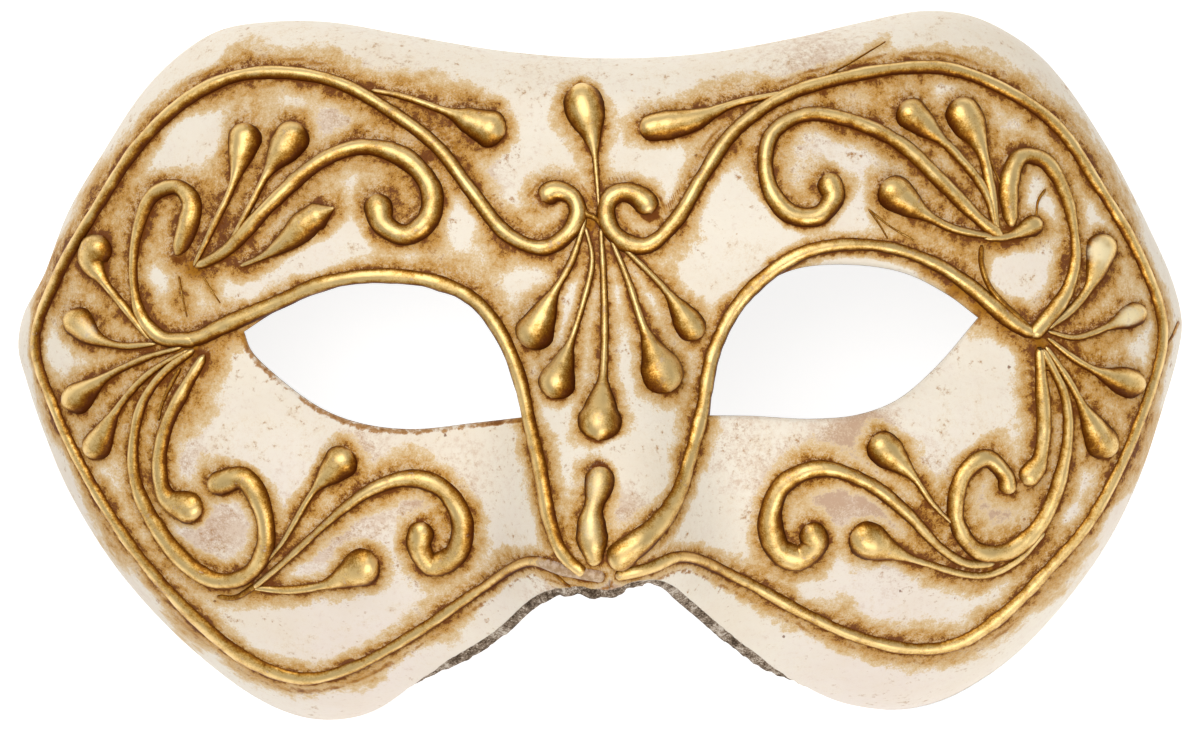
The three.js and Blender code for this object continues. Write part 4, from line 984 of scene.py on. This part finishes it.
# Gold from a stroke's crest down to its foot, darkening partly with glaze left in the flanks and
# partly as painted shade: share of the ramp, and colour.
GOLD_GLAZE_AND_SHADE = (
    (0.0, (0.83, 0.59, 0.25)), (0.12, (0.73, 0.48, 0.165)), (0.30, (0.53, 0.285, 0.056)),
    (0.50, (0.31, 0.125, 0.011)), (0.70, (0.15, 0.046, 0.002)), (1.0, (0.08, 0.017, 0.001)),
)
GOLD_WORN_AND_HIGHLIGHT = (0.87, 0.74, 0.46)
PASTE, PASTE_PALE = (0.36, 0.22, 0.12), (0.60, 0.45, 0.33)


def gold_material():
    """Metallic paint over glaze: pale on the crest and brown at the foot, by the flank's share and
    the wipe marks, the brown partly glaze and partly painted shade; the glaze takes the metal away,
    as do the places of wear, pale with a painted highlight, and the ungilded places."""
    made, tree, shader, place = new_material("gold_paint")
    flank, worn, ungilded = (value_of(tree, n) for n in ("flank", "worn", "ungilded"))
    marks = use_group(tree, WIPE_MARKS, Place=place)
    # The flank, stippled, sets the gold from its light crest to a dark foot of glaze and painted shade.
    glazed = stippled(tree, marks, flank, 1.0, 0.8, 0.7)
    colour = colour_ramp(tree, glazed, GOLD_GLAZE_AND_SHADE)
    kept = math(tree, "MULTIPLY", flank, 0.6)
    # Pale crests of the worn drops: wear to the gesso and a painted highlight; the flanks keep their
    # brown.
    rubbed_and_highlight = ramp(tree, math(tree, "SUBTRACT", stippled(tree, marks, worn, 1.0, 1.0), kept), 0.1, 1.0)
    colour = blend(tree, rubbed_and_highlight, colour, GOLD_WORN_AND_HIGHLIGHT, 0.9)
    for x, y, radius in PITS:
        colour = blend(tree, spot_at(tree, place, x, y, radius), colour, UMBER, 0.9)
    plain = math(tree, "SUBTRACT", stippled(tree, marks, ungilded, 1.0, 2.0), kept)
    plain = ramp(tree, plain, 0.15, 0.55)
    paste = blend(tree, ramp(tree, marks["Grain"], -0.1, 0.12), PASTE, PASTE_PALE)
    colour = blend(tree, plain, colour, paste, 0.9)
    tree.links.new(colour, shader.inputs["Base Color"])
    metal = ramp(tree, glazed, 0.9, 0.35, 0.05, 0.7)
    for lost in (rubbed_and_highlight, plain):
        left = math(tree, "SUBTRACT", 1.0, math(tree, "MULTIPLY", lost, 0.85))
        metal = math(tree, "MULTIPLY", metal, left)
    tree.links.new(metal, shader.inputs["Metallic"])
    tree.links.new(ramp(tree, marks["Tongues"], -0.1, 0.1, 0.36, 0.48), shader.inputs["Roughness"])
    shader.inputs["Specular IOR Level"].default_value = 0.06
    brushed = math(tree, "MULTIPLY", marks["Tongues"], 0.8)
    height = math(tree, "ADD", brushed, math(tree, "MULTIPLY", marks["Specks"], 0.4))
    bump = node(tree, "ShaderNodeBump", {"Strength": 0.35, "Distance": 0.0003, "Height": height})
    tree.links.new(bump.outputs["Normal"], shader.inputs["Normal"])
    return made


gold_paint = gold_material()
for piece in relief.values():
    piece.data.materials.append(gold_paint)

# The studio: a pale matt floor, a large soft light above the brow, a smaller one low in front of
# the cheeks, an even white sky, and a long lens that looks straight down.

VIEW_WIDTH = 0.1821
VIEW_CENTRE = (-0.00012, -0.00061)
VIEW_DISTANCE, VIEW_ROLL, VIEW_LEVEL = 3.0, -1.0, 0.04
FLOOR_REACH = 1500.0
SENSOR = 36

floor_points = np.array([[-1, -1, 0], [1, -1, 0], [1, 1, 0], [-1, 1, 0]]) * FLOOR_REACH + [*MIDDLE, 0]
floor = make_piece("floor", floor_points, np.array([[0, 1, 2, 3]]), smooth_faces=False)
floor_paint, floor_tree, floor_shader, floor_place = new_material("pale_floor")
tint = blend(floor_tree, noise(floor_tree, floor_place, 0.01, 2), (0.50, 0.50, 0.50), (0.53, 0.53, 0.53))
floor_tree.links.new(tint, floor_shader.inputs["Base Color"])
floor_shader.inputs["Roughness"].default_value = 0.9
floor_shader.inputs["Emission Color"].default_value = (1, 1, 1, 1)
floor_shader.inputs["Emission Strength"].default_value = 0.8
floor.data.materials.append(floor_paint)


def soft_light(name, place, size, power, aim=(0, 0, 0.03)):
    """A square area light that faces a point."""
    lamp = bpy.data.lights.new(name, "AREA")
    lamp.size, lamp.energy = size, power
    light = bpy.data.objects.new(name, lamp)
    light.location = place
    toward = np.array(aim) - np.array(place)
    light.rotation_euler = Vector(toward).to_track_quat("-Z", "Y").to_euler()
    bpy.context.scene.collection.objects.link(light)


soft_light("top_light", (-0.28, 0.52, 1.20), 1.30, 16.3)
soft_light("front_light", (0.35, -0.85, 0.75), 0.80, 7.3)

world = bpy.data.worlds.new("studio")
world.use_nodes = True
world.node_tree.nodes["Background"].inputs["Color"].default_value = (1, 1, 1, 1)
world.node_tree.nodes["Background"].inputs["Strength"].default_value = 0.22
bpy.context.scene.world = world
bpy.context.scene.view_settings.view_transform = "Standard"

lens = bpy.data.cameras.new("camera")
lens.sensor_width = SENSOR
lens.lens = SENSOR * (VIEW_DISTANCE - VIEW_LEVEL) / VIEW_WIDTH
lens.clip_end = 10
camera = bpy.data.objects.new("camera", lens)
camera.location = (*VIEW_CENTRE, VIEW_DISTANCE)
camera.rotation_euler = (0, 0, np.radians(VIEW_ROLL))
bpy.context.scene.collection.objects.link(camera)
bpy.context.scene.camera = camera
